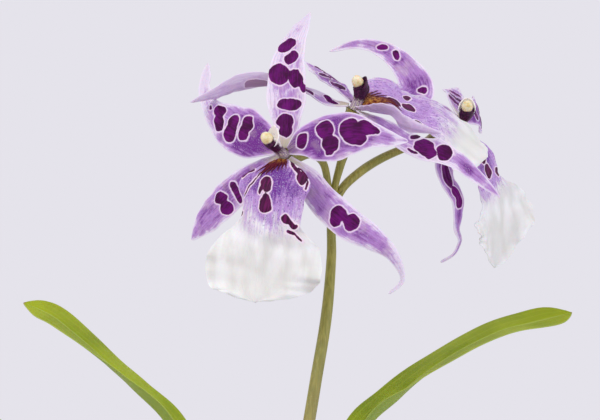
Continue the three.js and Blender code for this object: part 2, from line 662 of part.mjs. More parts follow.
// The spine of a tepal or lip, from its foot on the ring round the column.
function spineFrom(flower, rows, layer, root) {
  const hub = vector(HUBS[flower]);
  const look = vector(LOOKS[flower]).normalize();
  const out = squared(point(rows, 0), look);
  const foot = look.clone().multiplyScalar(layer).addScaledVector(out, RING);
  return [[...foot.toArray(), root], ...rows].map(([x, y, z, half]) => [
    ...vector([x, y, z]).add(hub).toArray(),
    half,
  ]);
}

function tepal(name, { rows, ...shape }) {
  const flower = name.split("_")[0];
  const layer = name.endsWith("sepal") ? SEPAL_LAYER : PETAL_LAYER;
  const spine = spineFrom(flower, rows, layer, TEPAL.root);
  const faces = [LOOKS[flower], LOOKS[flower]];
  return blade({ faces, ...shape, spine, thick: TEPAL.thick, rows: TEPAL.rows, cols: TEPAL.cols });
}

// A lip has a ruffled edge, sides that roll back, and a raised callus near its foot.
function lip(name, { rows, faces, cup = LIP_CUP }) {
  const spine = spineFrom(name.split("_")[0], rows, PETAL_LAYER, LIP.root);
  const lift = (t, s) => {
    const edge = Math.abs(s) ** 3 * Math.min(1, 2 * t);
    const shift = s > 0 ? RUFFLE.shift : 0;
    return RUFFLE.share * column(spine, 3, t) * edge * Math.sin(2 * Math.PI * RUFFLE.waves * t + shift);
  };
  const relief = (t, s) => {
    const along = Math.max(0, 1 - Math.abs(t / CALLUS.middle - 1));
    return CALLUS.height * along * Math.max(0, 1 - Math.abs(s) / CALLUS.half);
  };
  return blade({ spine, faces, cup, lift, relief, thick: LIP.thick, rows: LIP.rows, cols: LIP.cols });
}

// A column's whole line from above the ovary's face, in world places.
function columnLine(flower) {
  const look = vector(LOOKS[flower]).normalize();
  const foot = [COLUMN_FOOT, COLUMN.straight].map((height) => [
    ...look.clone().multiplyScalar(height).toArray(),
    COLUMN.foot,
  ]);
  return [...foot, ...COLUMNS[flower]].map(([x, y, z, radius]) => [
    ...vector([x, y, z]).add(vector(HUBS[flower])).toArray(),
    radius,
  ]);
}

function columnShape(flower) {
  return rod(columnLine(flower), { sides: COLUMN.sides, steps: COLUMN.rings, flatness: COLUMN.flatness });
}

// Rounded cap on the column's end.
function antherCap(flower) {
  const line = columnLine(flower);
  const way = heading(line, 1);
  const foot = point(line, 1).addScaledVector(way, GAP);
  const rows = [];
  for (let i = 0; i <= ANTHER_CAP.rings; i++) {
    const h = i / ANTHER_CAP.rings;
    const place = foot.clone().addScaledVector(way, h * ANTHER_CAP.length);
    const rise = ANTHER_CAP.low + h * (ANTHER_CAP.high - ANTHER_CAP.low);
    rows.push([...place.toArray(), ANTHER_CAP.radius * Math.sqrt(1 - rise ** 2)]);
  }
  return rod(rows, { sides: ANTHER_CAP.sides, steps: ANTHER_CAP.rings });
}

const finish = (color, roughness) => new THREE.MeshStandardMaterial({ color, roughness, metalness: 0 });
const TERRACOTTA = finish(0xb5673f, 0.85);
const BROWN_BARK = finish(0x5b3a24, 0.95);
const PALE_ROOT = finish(0xc9c8b4, 0.8);
const BULB_GREEN = finish(0x6f9137, 0.55);
const LEAF_GREEN = finish(0x4f8a1f, 0.45);
const STEM_GREEN = finish(0x6e7a35, 0.5);
const VIOLET = finish(0x8e62bd, 0.6);
const WHITE = finish(0xf2eef4, 0.6);
const DARK_PURPLE = finish(0x4b1455, 0.5);
const CREAM = finish(0xf1e6bd, 0.5);

const orchid = new THREE.Group();
function add(name, geometry, material) {
  const mesh = new THREE.Mesh(geometry, material);
  mesh.name = name;
  orchid.add(mesh);
}

add("pot", potShape(), TERRACOTTA);
add("bark_mix", barkMix(), BROWN_BARK);
add("rhizome_and_roots", shapeOf(rootstock(0)), PALE_ROOT);
Object.entries(BULBS).forEach(([name, shape]) => add(name, bulb(shape), BULB_GREEN));
Object.entries(LEAVES).forEach(([name, shape]) => add(name, leaf(shape), LEAF_GREEN));
add("flower_spike", spikeShape(), STEM_GREEN);
Object.entries(TEPALS).forEach(([name, shape]) => add(name, tepal(name, shape), VIOLET));
Object.entries(LIPS).forEach(([name, shape]) => add(name, lip(name, shape), WHITE));
Object.keys(HUBS).forEach((flower) => {
  add(flower + "_column", columnShape(flower), DARK_PURPLE);
  add(flower + "_anther_cap", antherCap(flower), CREAM);
});

export default orchid;
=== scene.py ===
import math
from types import SimpleNamespace

import bpy
import numpy as np
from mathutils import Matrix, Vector


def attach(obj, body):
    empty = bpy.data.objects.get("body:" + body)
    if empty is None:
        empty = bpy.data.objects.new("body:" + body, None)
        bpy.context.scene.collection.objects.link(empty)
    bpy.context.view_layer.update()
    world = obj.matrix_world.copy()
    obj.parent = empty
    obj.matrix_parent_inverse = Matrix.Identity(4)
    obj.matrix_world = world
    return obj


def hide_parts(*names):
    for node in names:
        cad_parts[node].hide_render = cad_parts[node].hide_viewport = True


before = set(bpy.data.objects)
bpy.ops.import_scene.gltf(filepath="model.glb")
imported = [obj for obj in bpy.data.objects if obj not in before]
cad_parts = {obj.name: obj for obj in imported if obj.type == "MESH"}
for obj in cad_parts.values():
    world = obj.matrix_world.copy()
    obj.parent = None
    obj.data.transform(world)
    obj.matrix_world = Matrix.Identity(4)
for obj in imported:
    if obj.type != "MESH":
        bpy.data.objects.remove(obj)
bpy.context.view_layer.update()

MM = 0.001

# Clearance between pieces that touch
GAP = 0.3

# Camera: level, straight ahead, far enough back for the photograph's weak perspective. Clip is in metres.
CAMERA = {"place": (5.5, -820, 400), "lens": 133.33, "sensor": 36, "clip": (0.05, 20)}

# Floor and light
FLOOR = {"radius": 2600, "sides": 96}
SKY = {"colour": "#e5e3eb", "strength": 1.0}
KEY_LIGHT = {"place": (-900, -1300, 1500), "size": 900, "power": 11, "colour": "#fffaf4"}
FILL_LIGHT = {"place": (1300, -700, 700), "size": 1200, "power": 4, "colour": "#f6f6ff"}
AIM = (10, 0, 400)

# Pot: height, outer radii, wall, floor, rim band, rounding of the edges and how fine it is, then its holes
POT = {
    "height": 115, "rim": 65, "shoulder": 59.5, "foot": 45, "wall": 5.5, "floor": 6, "band": 22, "edge": 1.5,
    "sides": 160, "step": 1.2,
}
DRAIN = {"count": 4, "radius": 4.5, "circle": 24, "sides": 32}

# Bark: level of the bed, how far the loose chips lie from the middle and how high, how near a bulb they lie
# lower and how high there, and their number; then a chip's sizes and corners, and how far it tilts and is
# uneven
BARK = {"level": 95, "reach": 53, "low": 96, "high": 103.5, "near": 13, "near_high": 97.5, "chips": 520}
CHIP = {"long": (7, 17), "wide": (4, 10), "thick": (1.6, 3.8), "corners": 8, "tilt": 0.45, "jitter": 0.22}

# How fine the rods are: points round them and steps along them
FINE = {
    "rhizome": (28, 160), "root": (20, 120), "stem": (28, 420), "stalk": (28, 120), "column": (36, 40),
    "cap": (36, 24), "keel": (12, 40),
}

# Rhizome and roots, as x, y, z and radius
RHIZOME = [
    (-46, 11, 98.5, 2.6), (-38, 10, 99.3, 4.0), (-20, 7, 98.6, 3.6), (-2, 4, 99.3, 4.2),
    (14, 0, 98.6, 3.4), (30, -4, 99.3, 3.9), (38, -6, 98.8, 2.2),
]
ROOTS = [
    [(-20, 6, 98.6, 1.8), (-24, -8, 100.2, 1.9), (-32, -20, 100, 1.9), (-36, -28, 96, 1.7),
     (-37, -31, 88, 1.3)],
    [(-6, 4, 98.6, 1.8), (-4, 18, 100.4, 1.9), (-14, 30, 100.6, 1.9), (-22, 37, 96, 1.7),
     (-25, 39, 88, 1.3)],
    [(12, 0, 98.6, 1.8), (10, -14, 100.3, 1.9), (18, -27, 100.6, 1.9), (16, -37, 97, 1.7),
     (13, -41, 88, 1.3)],
    [(18, -1, 98.6, 1.8), (26, 12, 100.4, 1.9), (36, 18, 100.2, 1.9), (42, 22, 95, 1.6),
     (44, 23, 88, 1.3)],
]

# Pseudobulbs: foot, number of flutes, girth from foot to neck and how fine they are, then each one's place,
# half width, half depth, height, depth of the flutes and age
BULB = {
    "foot": 103.8, "flutes": 8, "girth": [0.62, 0.85, 0.97, 1.0, 0.96, 0.85, 0.68, 0.48, 0.28],
    "rings": 73, "sides": 96,
}
BULBS = {
    "old_pseudobulb": {"at": (-38, 10), "half": 13, "depth": 7.5, "height": 60, "flutes": 0.07, "age": 1},
    "flowering_pseudobulb": {
        "at": (-2, 4), "half": 16, "depth": 9, "height": 74.5, "flutes": 0.035, "age": 0.4,
    },
    "new_pseudobulb": {"at": (30, -4), "half": 8, "depth": 6, "height": 35, "flutes": 0.02, "age": 0},
}

# Leaves: the midrib as x, y, z and half width, the way the upper side looks, and the rise of the edges
# across the blade as a share of its half width (cup is round, fold is keeled). Grid is how fine a blade is.
LEAF = {"thick": 1.2, "grid": (160, 32)}
LEAVES = {
    "left_leaf": {
        "rows": [
            (-4.6, 4, 178.7, 2.6), (-7, 6, 212, 6), (-15, 10, 249, 9.5), (-28, 16, 285, 10.5),
            (-44, 22, 318, 10.5), (-59.5, 28, 333.5, 11), (-73.5, 34, 345.5, 10.5), (-87, 38, 356.4, 10),
            (-95, 39.5, 361, 7.5), (-101.5, 40, 364, 0.7),
        ],
        "faces": [(1, 0.1, 0), (0.9, -0.05, 0.3), (0.8, -0.1, 0.5), (0.6, -0.28, 0.75), (0.4, -0.5, 0.8)],
        "fold": [0.4, 0.8, 0.5, 0.2, 0.15, 0.1],
    },
    "right_leaf": {
        "rows": [
            (0.6, 4, 178.7, 2.6), (3, 8, 215, 6), (9, 14, 251, 9.5), (18.5, 22, 285, 10.5),
            (30.5, 30, 315.5, 10.5), (44, 40, 328, 11), (60.5, 50, 340, 11.5), (81, 60, 350.3, 11),
            (98, 68, 354.8, 9), (108, 72, 357, 6.5), (115, 75, 358.5, 0.7),
        ],
        "faces": [
            (-1, 0, 0), (-1, 0, 0.2), (-0.8, -0.15, 0.5), (-0.55, -0.15, 0.88), (-0.4, -0.25, 0.9),
            (-0.1, -0.42, 0.9), (0.05, -0.5, 0.85),
        ],
        "fold": [0.4, 0.8, 0.5, 0.2, 0.15, 0.1],
    },
    "old_leaf": {
        "rows": [
            (-38, 10, 164.2, 2.5), (-42, 14, 205, 6.5), (-55, 22, 248, 10), (-79, 35, 283, 11),
            (-105, 47, 307, 10), (-130, 57, 322, 7.5), (-154, 64, 330, 0.7),
        ],
        "faces": [(1, 0, 0), (0.8, -0.2, 0.5), (0.5, -0.3, 0.9)],
        "fold": [0.4, 0.7, 0.4, 0.25, 0.2],
    },
    "left_basal_leaf": {
        "rows": [
            (-13, 4, 103.2, 7.6), (-18.9, 4, 122, 8), (-19.1, 4, 141, 8), (-22, 3, 160, 8.5),
            (-32, -2, 187, 10), (-54, -12, 215, 11.5), (-86, -26, 236, 10), (-120, -40, 236, 0.7),
        ],
        "faces": [(1, 0, 0), (1, 0, 0), (1, 0, 0.1), (0.8, 0.2, 0.4), (0.4, 0.1, 0.9), (0, 0.1, 1)],
        "cup": [0.8, 0.84, 0.84, 0.4, 0.15, 0.1, 0.1, 0.1],
        "fold": [0, 0, 0, 0.2, 0.2, 0.2, 0.15, 0.1],
    },
    "right_basal_leaf": {
        "rows": [
            (9, 4, 103.2, 7.6), (14.9, 4, 122, 8), (15.2, 4, 141, 8), (18.5, 6, 161, 8.5),
            (27, 14, 188, 10), (47, 28, 220, 11.5), (82, 42, 242, 10), (118, 50, 238, 0.7),
        ],
        "faces": [(-1, 0, 0), (-1, 0, 0), (-1, 0, 0.1), (-0.8, 0, 0.4), (-0.4, -0.1, 0.9), (0, -0.1, 1)],
        "cup": [0.8, 0.84, 0.84, 0.4, 0.15, 0.1, 0.1, 0.1],
        "fold": [0, 0, 0, 0.2, 0.2, 0.2, 0.15, 0.1],
    },
    "new_left_sheath_leaf": {
        "rows": [
            (23.2, -4, 103.2, 5), (21.3, -4, 112, 5.2), (20.7, -4, 122, 5.2), (20.2, -5, 135, 5),
            (19, -8, 150, 3.8), (16, -12, 168, 0.6),
        ],
        "faces": [(1, 0, 0), (1, 0, 0), (0.9, 0.2, 0.3)],
        "cup": [0.5, 0.52, 0.5, 0.3],
    },
    "new_right_sheath_leaf": {
        "rows": [
            (36.8, -4, 103.2, 5), (38.7, -4, 112, 5.2), (39.4, -4, 122, 5.2), (41, -4, 140, 5.2),
            (46, -4, 162, 4.4), (56, -6, 186, 0.6),
        ],
        "faces": [(-1, 0, 0), (-1, 0, 0), (-0.8, 0.1, 0.5)],
        "cup": [0.5, 0.52, 0.5, 0.3],
    },
    "new_front_leaf": {
        "rows": [
            (28.2, -4.6, 139.1, 2.2), (25, -12, 168, 5.2), (19, -27, 200, 8), (10, -48, 226, 8.5),
            (-1, -73, 236, 6), (-10, -95, 230, 0.6),
        ],
        "faces": [(0.8, 0.6, 0), (0.5, 0.8, 0.3), (0.2, 0.4, 0.9), (0.1, 0, 1)],
        "fold": [0.3, 0.4, 0.3, 0.2, 0.15],
    },
    "new_right_leaf": {
        "rows": [
            (31.8, -3.4, 139.1, 2.2), (37.5, -3.4, 175, 5.5), (47, -9, 214, 8.5), (64, -18, 250, 8.5),
            (88, -28, 276, 6.5), (112, -36, 287, 0.6),
        ],
        "faces": [(-0.9, -0.4, 0), (-0.8, 0, 0.4), (-0.6, 0, 0.8), (-0.4, 0, 0.9)],
        "fold": [0.3, 0.4, 0.3, 0.2, 0.15],
    },
}

# Flowers: the hub that the tepals grow round, and the way the flower looks
HUBS = {"front": (0, -20, 420), "middle": (25.4, -2, 437.5), "back": (66.4, 40, 434)}
LOOKS = {"front": (-0.42, -0.88, 0.22), "middle": (0.46, -0.29, 0.84), "back": (0.78, -0.59, 0.23)}

# Round the column: where the tepals start, and how far the sepals and then the petals and lip lie in front
RING = 2.4
SEPAL_LAYER = 0
PETAL_LAYER = 1.35

# Spots of tepals and lips: the width over which ovals run together, how uneven their outlines are and over
# what length, and the distance that stands for no spot near
SPOT = {"soft": 0.7, "uneven": 0.17, "size": 2.3, "far": 9.0}

# Tepals: the midrib from the hub as right, back, up and half width, the way the front looks, and the spots.
# A spot is a group of merged ovals: place along and across, two half axes, and the first one's turn in
# degrees.
# Through is how much of the spots shows on the back, violet how deep the colour is from foot to tip, and
# root the half width at the foot.
TEPAL = {"thick": 0.8, "root": 1.7, "through": 0.7, "cup": [0.1, -0.1, -0.2], "grid": (130, 48)}
TEPALS = {
    "front_dorsal_sepal": {
        "rows": [
            (1.1, 2.5, 11, 5.3), (1.2, 5, 19.5, 7.7), (1, 8, 29.5, 7.4), (2.2, 12, 40, 5.5),
            (5.2, 17, 47, 3.6), (9.3, 23, 53, 0.5),
        ],
        "cup": [0.1, 0.2, 0.15, -0.2, -0.4],
        "spots": [
            [(39.8, -1.7, 3.6, 2.4, 61)], [(34.5, 1.1, 2.8, 2.5, 61)],
            [(28.4, -3.2, 4.2, 3.7, -53), (25.8, 2.8, 3.8, 2, -16), (25.4, 4.8, 4, 1.6, -23),
             (21.2, 6.8, 1.6, 1.3, -32)],
            [(16.2, 0.9, 5, 2.2, -78)], [(9.8, -0.7, 3.5, 2.8, -67), (6.4, -0.5, 2.8, 2.3, -71)],
        ],
        "violet": [0.75, 0.55, 0.4, 0.25, 0.05, 0],
    },
    "front_left_petal": {
        "rows": [
            (-8.5, 3, 5, 6.9), (-15.5, 6, 8.6, 9), (-22.5, 11, 12.8, 7.2), (-27.2, 17, 17.7, 3.7),
            (-29.8, 25, 24, 2.5), (-29.4, 29.5, 29.5, 2.1), (-29, 33, 35, 0.5),
        ],
        "cup": [0.1, -0.15, -0.2, 0.2, 0.4],
        "spots": [
            [(29.7, 1.5, 3.1, 2.3, 0), (26.7, -1.7, 3.2, 2, 45)],
            [(21, 0.9, 3.2, 2.2, 72), (20.2, -2.9, 3, 2.6, 75)],
            [(15.6, 3.4, 2.9, 2.1, 59), (15.1, -0.4, 2.7, 2, 68)], [(35.1, -0.1, 1.1, 0.6, 13)],
        ],
        "violet": [1.1, 1.05, 0.5, 0.05, 0],
    },
    "front_right_petal": {
        "rows": [
            (7.5, -5, 4.6, 6.3), (15.5, -9, 6.1, 8.9), (24, -12, 7.3, 7.6), (31.5, -13, 6.5, 4.6),
            (38.5, -12, 5, 2.5), (44, -10, 4.5, 0.5),
        ],
        "cup": [0.1, -0.15, -0.2, 0, 0.2],
        "spots": [
            [(6.3, -0.6, 3, 2, -64)],
            [(15.6, -2.7, 3.5, 3.2, 65), (17.5, 2.7, 3.1, 2.7, 18), (16.7, 5.1, 1.5, 1.4, -86)],
            [(24.7, -1.2, 4.2, 3.4, 81), (27.3, 1.9, 3.8, 2.3, 2), (30, -2.2, 2.8, 2.6, 5),
             (32.7, -1.8, 1.7, 1.5, 14), (34.5, -1.4, 1, 0.8, 18)],
        ],
        "violet": [1.2, 1.15, 0.9, 0.6, 0.45],
    },
    "front_left_sepal": {
        "rows": [
            (-8.7, 5, -6.3, 4.7), (-17, 9, -11.8, 6.4), (-24.2, 13, -18.3, 6.3), (-29.8, 17, -24.3, 5),
            (-34.6, 21, -31, 0.8),
        ],
        "spots": [
            [(28.3, 1.2, 2.7, 2.3, 54), (28.5, -3.2, 2.8, 2.3, 38)],
            [(21.7, -1.7, 4.1, 1.3, -85), (21.5, 2.2, 1.4, 1, 52)],
        ],
        "violet": [0.6, 0.8, 0.7, 0.6, 0.5],
    },
    "front_right_sepal": {
        "rows": [
            (8, -2, -9.2, 4.7), (14.5, -5, -17.5, 5.7), (22, -8, -24.4, 5.8), (30, -10, -29.4, 4.7),
            (36.8, -10, -34.5, 2.8), (41.2, -8, -41.2, 1.4), (41.6, -6, -46, 0.9), (37.2, -3, -50, 0.5),
        ],
        "cup": [0.1, -0.1, -0.3, -0.3, 0.3],
        "spots": [[(27.5, -0.6, 2.9, 2.8, 12), (28.1, 1.8, 2.2, 1.9, 46), (33.3, -1.1, 3, 2.9, 38)]],
        "violet": [0.4, 0.62, 0.55, 0.38, 0.3],
    },
    "middle_dorsal_sepal": {
        "rows": [
            (-9, 1, 1.9, 4.6), (-17, 2, 5.8, 6.6), (-25.5, 2, 8.4, 7.2), (-34, 0, 8.9, 7),
            (-42.5, -2, 7.9, 6.2), (-51.5, -4, 4.3, 3.8), (-60, -6, 2, 0.5),
        ],
        "faces": [(0.3, -0.45, 0.85), (0, -0.12, 1), (0, 0.42, 0.9), (-0.2, 0.42, 0.9)],
        "cup": [0.1, 0.15, 0.25, 0.2],
        "spots": [
            [(7.3, 1.9, 4.1, 1.6, 39)], [(16, -0.5, 3.4, 2.4, 75)],
            [(26, 3.4, 5.2, 2.6, -75), (24.4, -2.2, 3, 2.4, 30)], [(35.8, -0.6, 4.6, 3, 0)],
        ],
        "violet": [0.6, 0.5, 0.4, 0.45, 0.35],
    },
    "middle_right_petal": {
        "rows": [
            (-5.3, 9, 7.7, 5.4), (-8.1, 14, 11.1, 6.8), (-11, 19, 14.1, 6.2), (-14.4, 24.5, 16.8, 3.7),
            (-18, 30, 19, 0.5),
        ],
        "spots": [
            [(28.5, 0.8, 3, 1.2, -15)], [(21, 2.6, 4.6, 1.4, -17), (19.5, -1.8, 2.8, 1.9, 80)],
            [(12.5, 0.4, 2.6, 3.4, 0)],
        ],
        "violet": [1, 0.85, 0.6, 0.55],
    },
    "middle_left_petal": {
        "rows": [
            (7.5, -10.8, -1.4, 4), (12.5, -17, -2.5, 5.6), (17, -21, -6.5, 4.6), (23, -23, -8.5, 2.4),
            (30.5, -24, -10, 0.5),
        ],
        "faces": [LOOKS["middle"], (0.2, 0.5, 0.8), (0.1, 0.7, 0.65)],
        "cup": [0.1, 0.15, 0.2],
        "spots": [
            [(9, 1.8, 2.8, 1.8, 20)], [(18, 0.5, 3.2, 2.8, 70), (20.5, -2, 2, 1.6, 30)],
            [(27, 0.2, 2.4, 1.8, 10)],
        ],
        "through": 0.1,
        "violet": [1, 0.8, 0.6, 0.5],
    },
    "middle_right_sepal": {
        "rows": [
            (14, 18, 3, 4.8), (23.6, 29, 7, 7.3), (23, 33, 13.2, 6.3), (18.1, 36, 19.7, 4.8),
            (11.2, 39, 24.7, 3.2), (2, 41, 26.6, 1.9), (-8.5, 42, 23.9, 0.6),
        ],
        "faces": [
            LOOKS["middle"], (0.2, -0.7, 0.6), (0.1, -0.85, 0.4), (0, -0.85, 0.2), (0, -0.8, 0.4),
        ],
        "cup": [0.1, 0.1, 0.1],
        "spots": [
            [(61.2, 0.7, 2.1, 1, -24)], [(54.9, 1, 2.2, 1.1, 33)], [(38, 2.6, 1.9, 1.1, 74)],
            [(22, 0, 3.4, 2.6, 70)], [(30, -1.5, 3, 2.2, 40)],
        ],
        "violet": [0.6, 0.8, 0.7, 0.55, 0.5],
    },
    "middle_left_sepal": {
        "rows": [
            (8.5, -7, -5, 4.2), (16.5, -13, -11, 5.2), (22.5, -17, -14.5, 4.8), (29, -20, -16, 5),
            (35.5, -22, -19, 3.5), (42.5, -23, -24.5, 2.8), (51.5, -24, -33, 0.5),
        ],
        "faces": [LOOKS["middle"], (0.3, -0.8, 0.5), (0.2, -0.9, 0.3), (0.1, -0.9, 0.3)],
        "spots": [
            [(31.9, -0.3, 4.4, 3.2, 29), (35, 1.7, 2.5, 2.2, 45)], [(39.9, -0.2, 3.2, 2.7, 64)],
            [(25.7, -3.4, 2, 1.5, -55)], [(29.1, 3.1, 1.8, 0.5, 8)],
        ],
        "violet": [0.5, 0.5, 0.5, 0.65, 0.75],
    },
    "back_dorsal_sepal": {
        "rows": [
            (-0.5, 9.5, 7, 4.5), (1, 20, 9.5, 6.2), (1.5, 30, 12, 5.6), (2.5, 40, 14, 3.4),
            (3.5, 48, 16, 0.5),
        ],
        "faces": [LOOKS["back"], (0.5, -0.6, 0.6), (0.3, -0.6, 0.75)],
        "spots": [[(14.1, -1, 3.4, 2.2, 60)], [(23, 0.5, 4, 2.6, 75)], [(32, -0.4, 3, 2.4, 50)]],
        "violet": [0.6, 0.5, 0.45, 0.35],
    },
    "back_left_petal": {
        "rows": [(-4, -6, 1, 5.2), (-9.5, -9, 1.5, 6.8), (-12.5, -10, 2.5, 5), (-16, -10, 3.5, 0.5)],
        "spots": [[(9.5, 1, 2.8, 2.4, 70)], [(14, -1.5, 2.2, 1.8, 40)]],
        "violet": [1, 0.8, 0.6],
    },
    "back_right_petal": {
        "rows": [(7.5, 11, 4, 5.2), (10, 21, 4, 7.4), (11, 31, 3, 6), (12, 43, 0.5, 0.5)],
        "spots": [
            [(12, 0, 3, 2.4, 70)], [(22, 1.5, 4.4, 3, 80), (24, -3, 2.4, 2.2, 30)],
            [(32, 0, 2.6, 2, 60)],
        ],
        "violet": [1, 0.85, 0.6, 0.5],
    },
    "back_left_sepal": {
        "rows": [
            (-3.2, -5, -8.5, 4.8), (-5.6, -8, -16.5, 5.8), (-4.2, -10, -23, 5.1), (-0.5, -10, -29, 4.8),
            (-0.2, -10, -35, 3.1), (-0.7, -10, -41.5, 1.9), (0.4, -9, -46, 1.2), (-2, -8, -51, 0.7),
            (-7, -7, -54, 0.5),
        ],
        "spots": [[(21.5, 0, 5, 2.8, 5)], [(31, 0.2, 4.6, 2.2, 0)], [(12, 0.5, 2, 2.6, 0)]],
        "violet": [0.5, 0.8, 0.8, 0.7, 0.6],
    },
    "back_right_sepal": {
        "rows": [(6.5, 8.5, -8.5, 4.6), (13, 20, -14, 5.7), (18, 30, -22, 4.6), (21, 38, -31.5, 0.5)],
        "spots": [[(17, 0, 3, 2.6, 70)], [(27, 0.5, 3.6, 2.6, 60)], [(34.5, 0, 1.8, 1.5, 0)]],
        "violet": [0.6, 0.8, 0.65, 0.5],
    },
}

# Lips: as the tepals, with how much wider than the half width each side is, from foot to tip
LIP = {"thick": 0.8, "root": 2.2, "cup": [0.2, -0.1, -0.35, -0.3, -0.15, -0.2, -0.2], "grid": (110, 90)}
LIPS = {
    "front_lip": {
        "rows": [
            (-3.5, -7, -6, 6.3), (-6, -10.5, -11.5, 11.6), (-7, -11, -17.5, 11), (-8, -9, -25.5, 11.4),
            (-8.5, -6, -34.5, 19.2), (-9.5, -4, -44, 21), (-10, -4.5, -49.5, 16), (-10.5, -5, -53, 4),
        ],
        "faces": [(-0.35, -0.7, 0.6), (-0.3, -0.9, 0.3), (-0.25, -0.97, 0), (-0.2, -0.95, 0.1)],
        "left": [1, 1.35, 1.05, 0.9, 0.85, 0.93, 1, 1, 1],
        "right": [1, 1.95, 1.25, 1.18, 1.24, 1.1, 1.04, 0.88, 0.35],
        "spots": [
            [(20.9, -0.4, 2.7, 2.2, -5), (18.4, -0.2, 1.4, 1.1, 0)],
            [(12.6, 1.2, 1.9, 1.8, 0), (14.3, -0.2, 2.2, 1.4, 0), (15.6, 2.1, 1.9, 0.7, 10)],
            [(8.8, -11.6, 2.2, 1.7, -54), (6, -8.1, 3.1, 0.7, -52), (2.9, -5.2, 2, 0.6, -37)],
            [(6.2, -10.9, 2.6, 0.35, -75), (7.6, -12.9, 1.4, 0.3, -50)], [(10.9, -14, 1.3, 0.4, 11)],
            [(24.9, -8.1, 1.9, 1.3, -36), (26.6, -10.4, 2, 1, -42), (27.5, -11.8, 1.1, 0.5, 30)],
            [(29.9, -10.3, 1.4, 0.7, -62), (31.6, -12.8, 2.4, 0.4, -48)],
            [(8, 9.3, 1.5, 1.2, 65), (10.3, 10.8, 1.8, 0.4, 28)], [(27, 9.2, 1.3, 0.3, 21)],
            [(15.5, 7.5, 4.6, 0.28, 27)],
        ],
        "violet": [0.5, 0.95, 1.05, 0.6, 0.24, 0.02, 0, 0, 0],
    },
    "middle_lip": {
        "rows": [
            (6.5, 1, 3, 5.5), (12.5, 4, 3.5, 10), (19, 7, 0.5, 11.5), (25.5, 10, -1, 12),
            (32.5, 12, -2.5, 11.5), (38.5, 14, -7.5, 12), (44, 15, -13, 13), (47.5, 15, -16, 11),
            (50, 15, -18, 4),
        ],
        "faces": [LOOKS["middle"], (0.42, -0.5, 0.75), (0.4, -0.6, 0.7), (0.5, -0.6, 0.6)],
        "right": [1, 1.3, 1.3, 1.1, 1, 1, 1, 1, 1],
        "callus": (1.45, 0.55),
        "cup": [0.25, 0.15, 0, -0.15, -0.2, -0.3, -0.3],
        "spots": [
            [(20.7, -0.4, 2.8, 2.2, -8)], [(14.2, 0.4, 3, 2.2, -14)], [(22, -7, 2.3, 1.4, -40)],
            [(23, 8, 2, 1, 20)],
        ],
        "violet": [0.4, 0.6, 0.62, 0.6, 0.5, 0.25, 0.02, 0, 0],
    },
    "back_lip": {
        "rows": [
            (5, -4, -8, 5.8), (9.5, -3, -14.5, 9.5), (12, -1, -21, 9), (14, 1, -27, 12.5),
            (15.5, 3, -33, 18.5), (16.3, 4.5, -39, 20.5), (16.5, 5.5, -45, 16), (16, 6, -51, 9.5),
            (15, 6, -56.5, 2),
        ],
        "faces": [(0.6, -0.5, 0.6), (0.75, -0.62, 0.2), (0.72, -0.65, 0.2)],
        "right": [1, 1, 1, 0.85, 0.92, 1.02, 0.85, 0.75, 0.6],
        "cup": [0.2, 0, 0, 0.1, 0.2, 0.2, 0.1],
        "spots": [[(20.7, -0.4, 2.8, 2.2, -8)], [(14.2, 0.4, 3, 2.2, -14)], [(24, -7, 2.3, 1.4, -40)]],
        "violet": [0.35, 0.8, 0.85, 0.5, 0.1, 0, 0, 0, 0],
    },
}

# Ruffles of a lip's edge: height as a share of the half width, number, and how far the sides are out of step
RUFFLE = {"share": 0.065, "waves": 4.5, "shift": 1.2}

# Keels of a lip's callus: from a point to a point on the lip, along and across, and thickest radius.
# A lip's own callus pair says how much longer its keels are, and how far they run from gold to maroon.
KEELS = [
    ((0.4, 1.1), (11.8, 5.3), 0.5),
    ((0.4, 0.6), (11.2, 3.9), 0.62),
    ((0.4, 0.2), (10.2, 2.2), 0.62),
    ((0.4, -0.3), (9, 0.6), 0.55),
    ((0.4, -0.8), (7.8, -1.2), 0.5),
    ((0.4, -1.3), (7.2, -2.9), 0.45),
    ((0.6, -1.9), (6.6, -4.4), 0.4),
    ((1.6, 2.2), (9.4, 6.8), 0.35),
]

# Columns: the radius and two heights of their straight foot, and how flat they are, then each one's line
# from the hub as right, back, up and radius
COLUMN = {"foot": 1.9, "low": -0.4, "straight": 2.4, "flatness": 0.85}
COLUMNS = {
    "front": [(-3, -5.5, 2.4, 2.1), (-4.6, -7.7, 3.9, 2.5), (-5.6, -9.1, 4.9, 2.1)],
    "middle": [(1.9, -1.4, 4, 2.1), (2.6, -2, 6.8, 2.5), (1.8, -2.9, 8.4, 2.1)],
    "back": [(2.6, -3, 1.6, 2.1), (3.2, -5.4, 3.2, 2.5), (3.2, -7.2, 4.8, 2.1)],
}

# Hood round the back of each anther cap: the side that it is on, whether it is white, how far it stands up
# and how far it is moved to that side, then its radii, how far round it goes, where it starts, its wall and
# how fine it is
HOODS = {
    "front": {"way": (0.8, 0.25, 0.55), "white": 1, "high": 2.2, "aside": 1.9},
    "middle": {"way": (0.75, 0.1, 0.4), "white": 0, "high": 1.6, "aside": 0.3},
    "back": {"way": (0.1, 0.8, 0.6), "white": 1, "high": 2.6, "aside": 0.2},
}
HOOD = {"foot": 2.45, "mouth": 3.2, "round": 1.75, "low": -1.8, "wall": 0.5, "grid": (16, 48)}

# Anther caps: part of a ball, from low to high as shares of its radius
CAP = {"radius": 2.15, "length": 3.6, "low": -0.25, "high": 0.95}

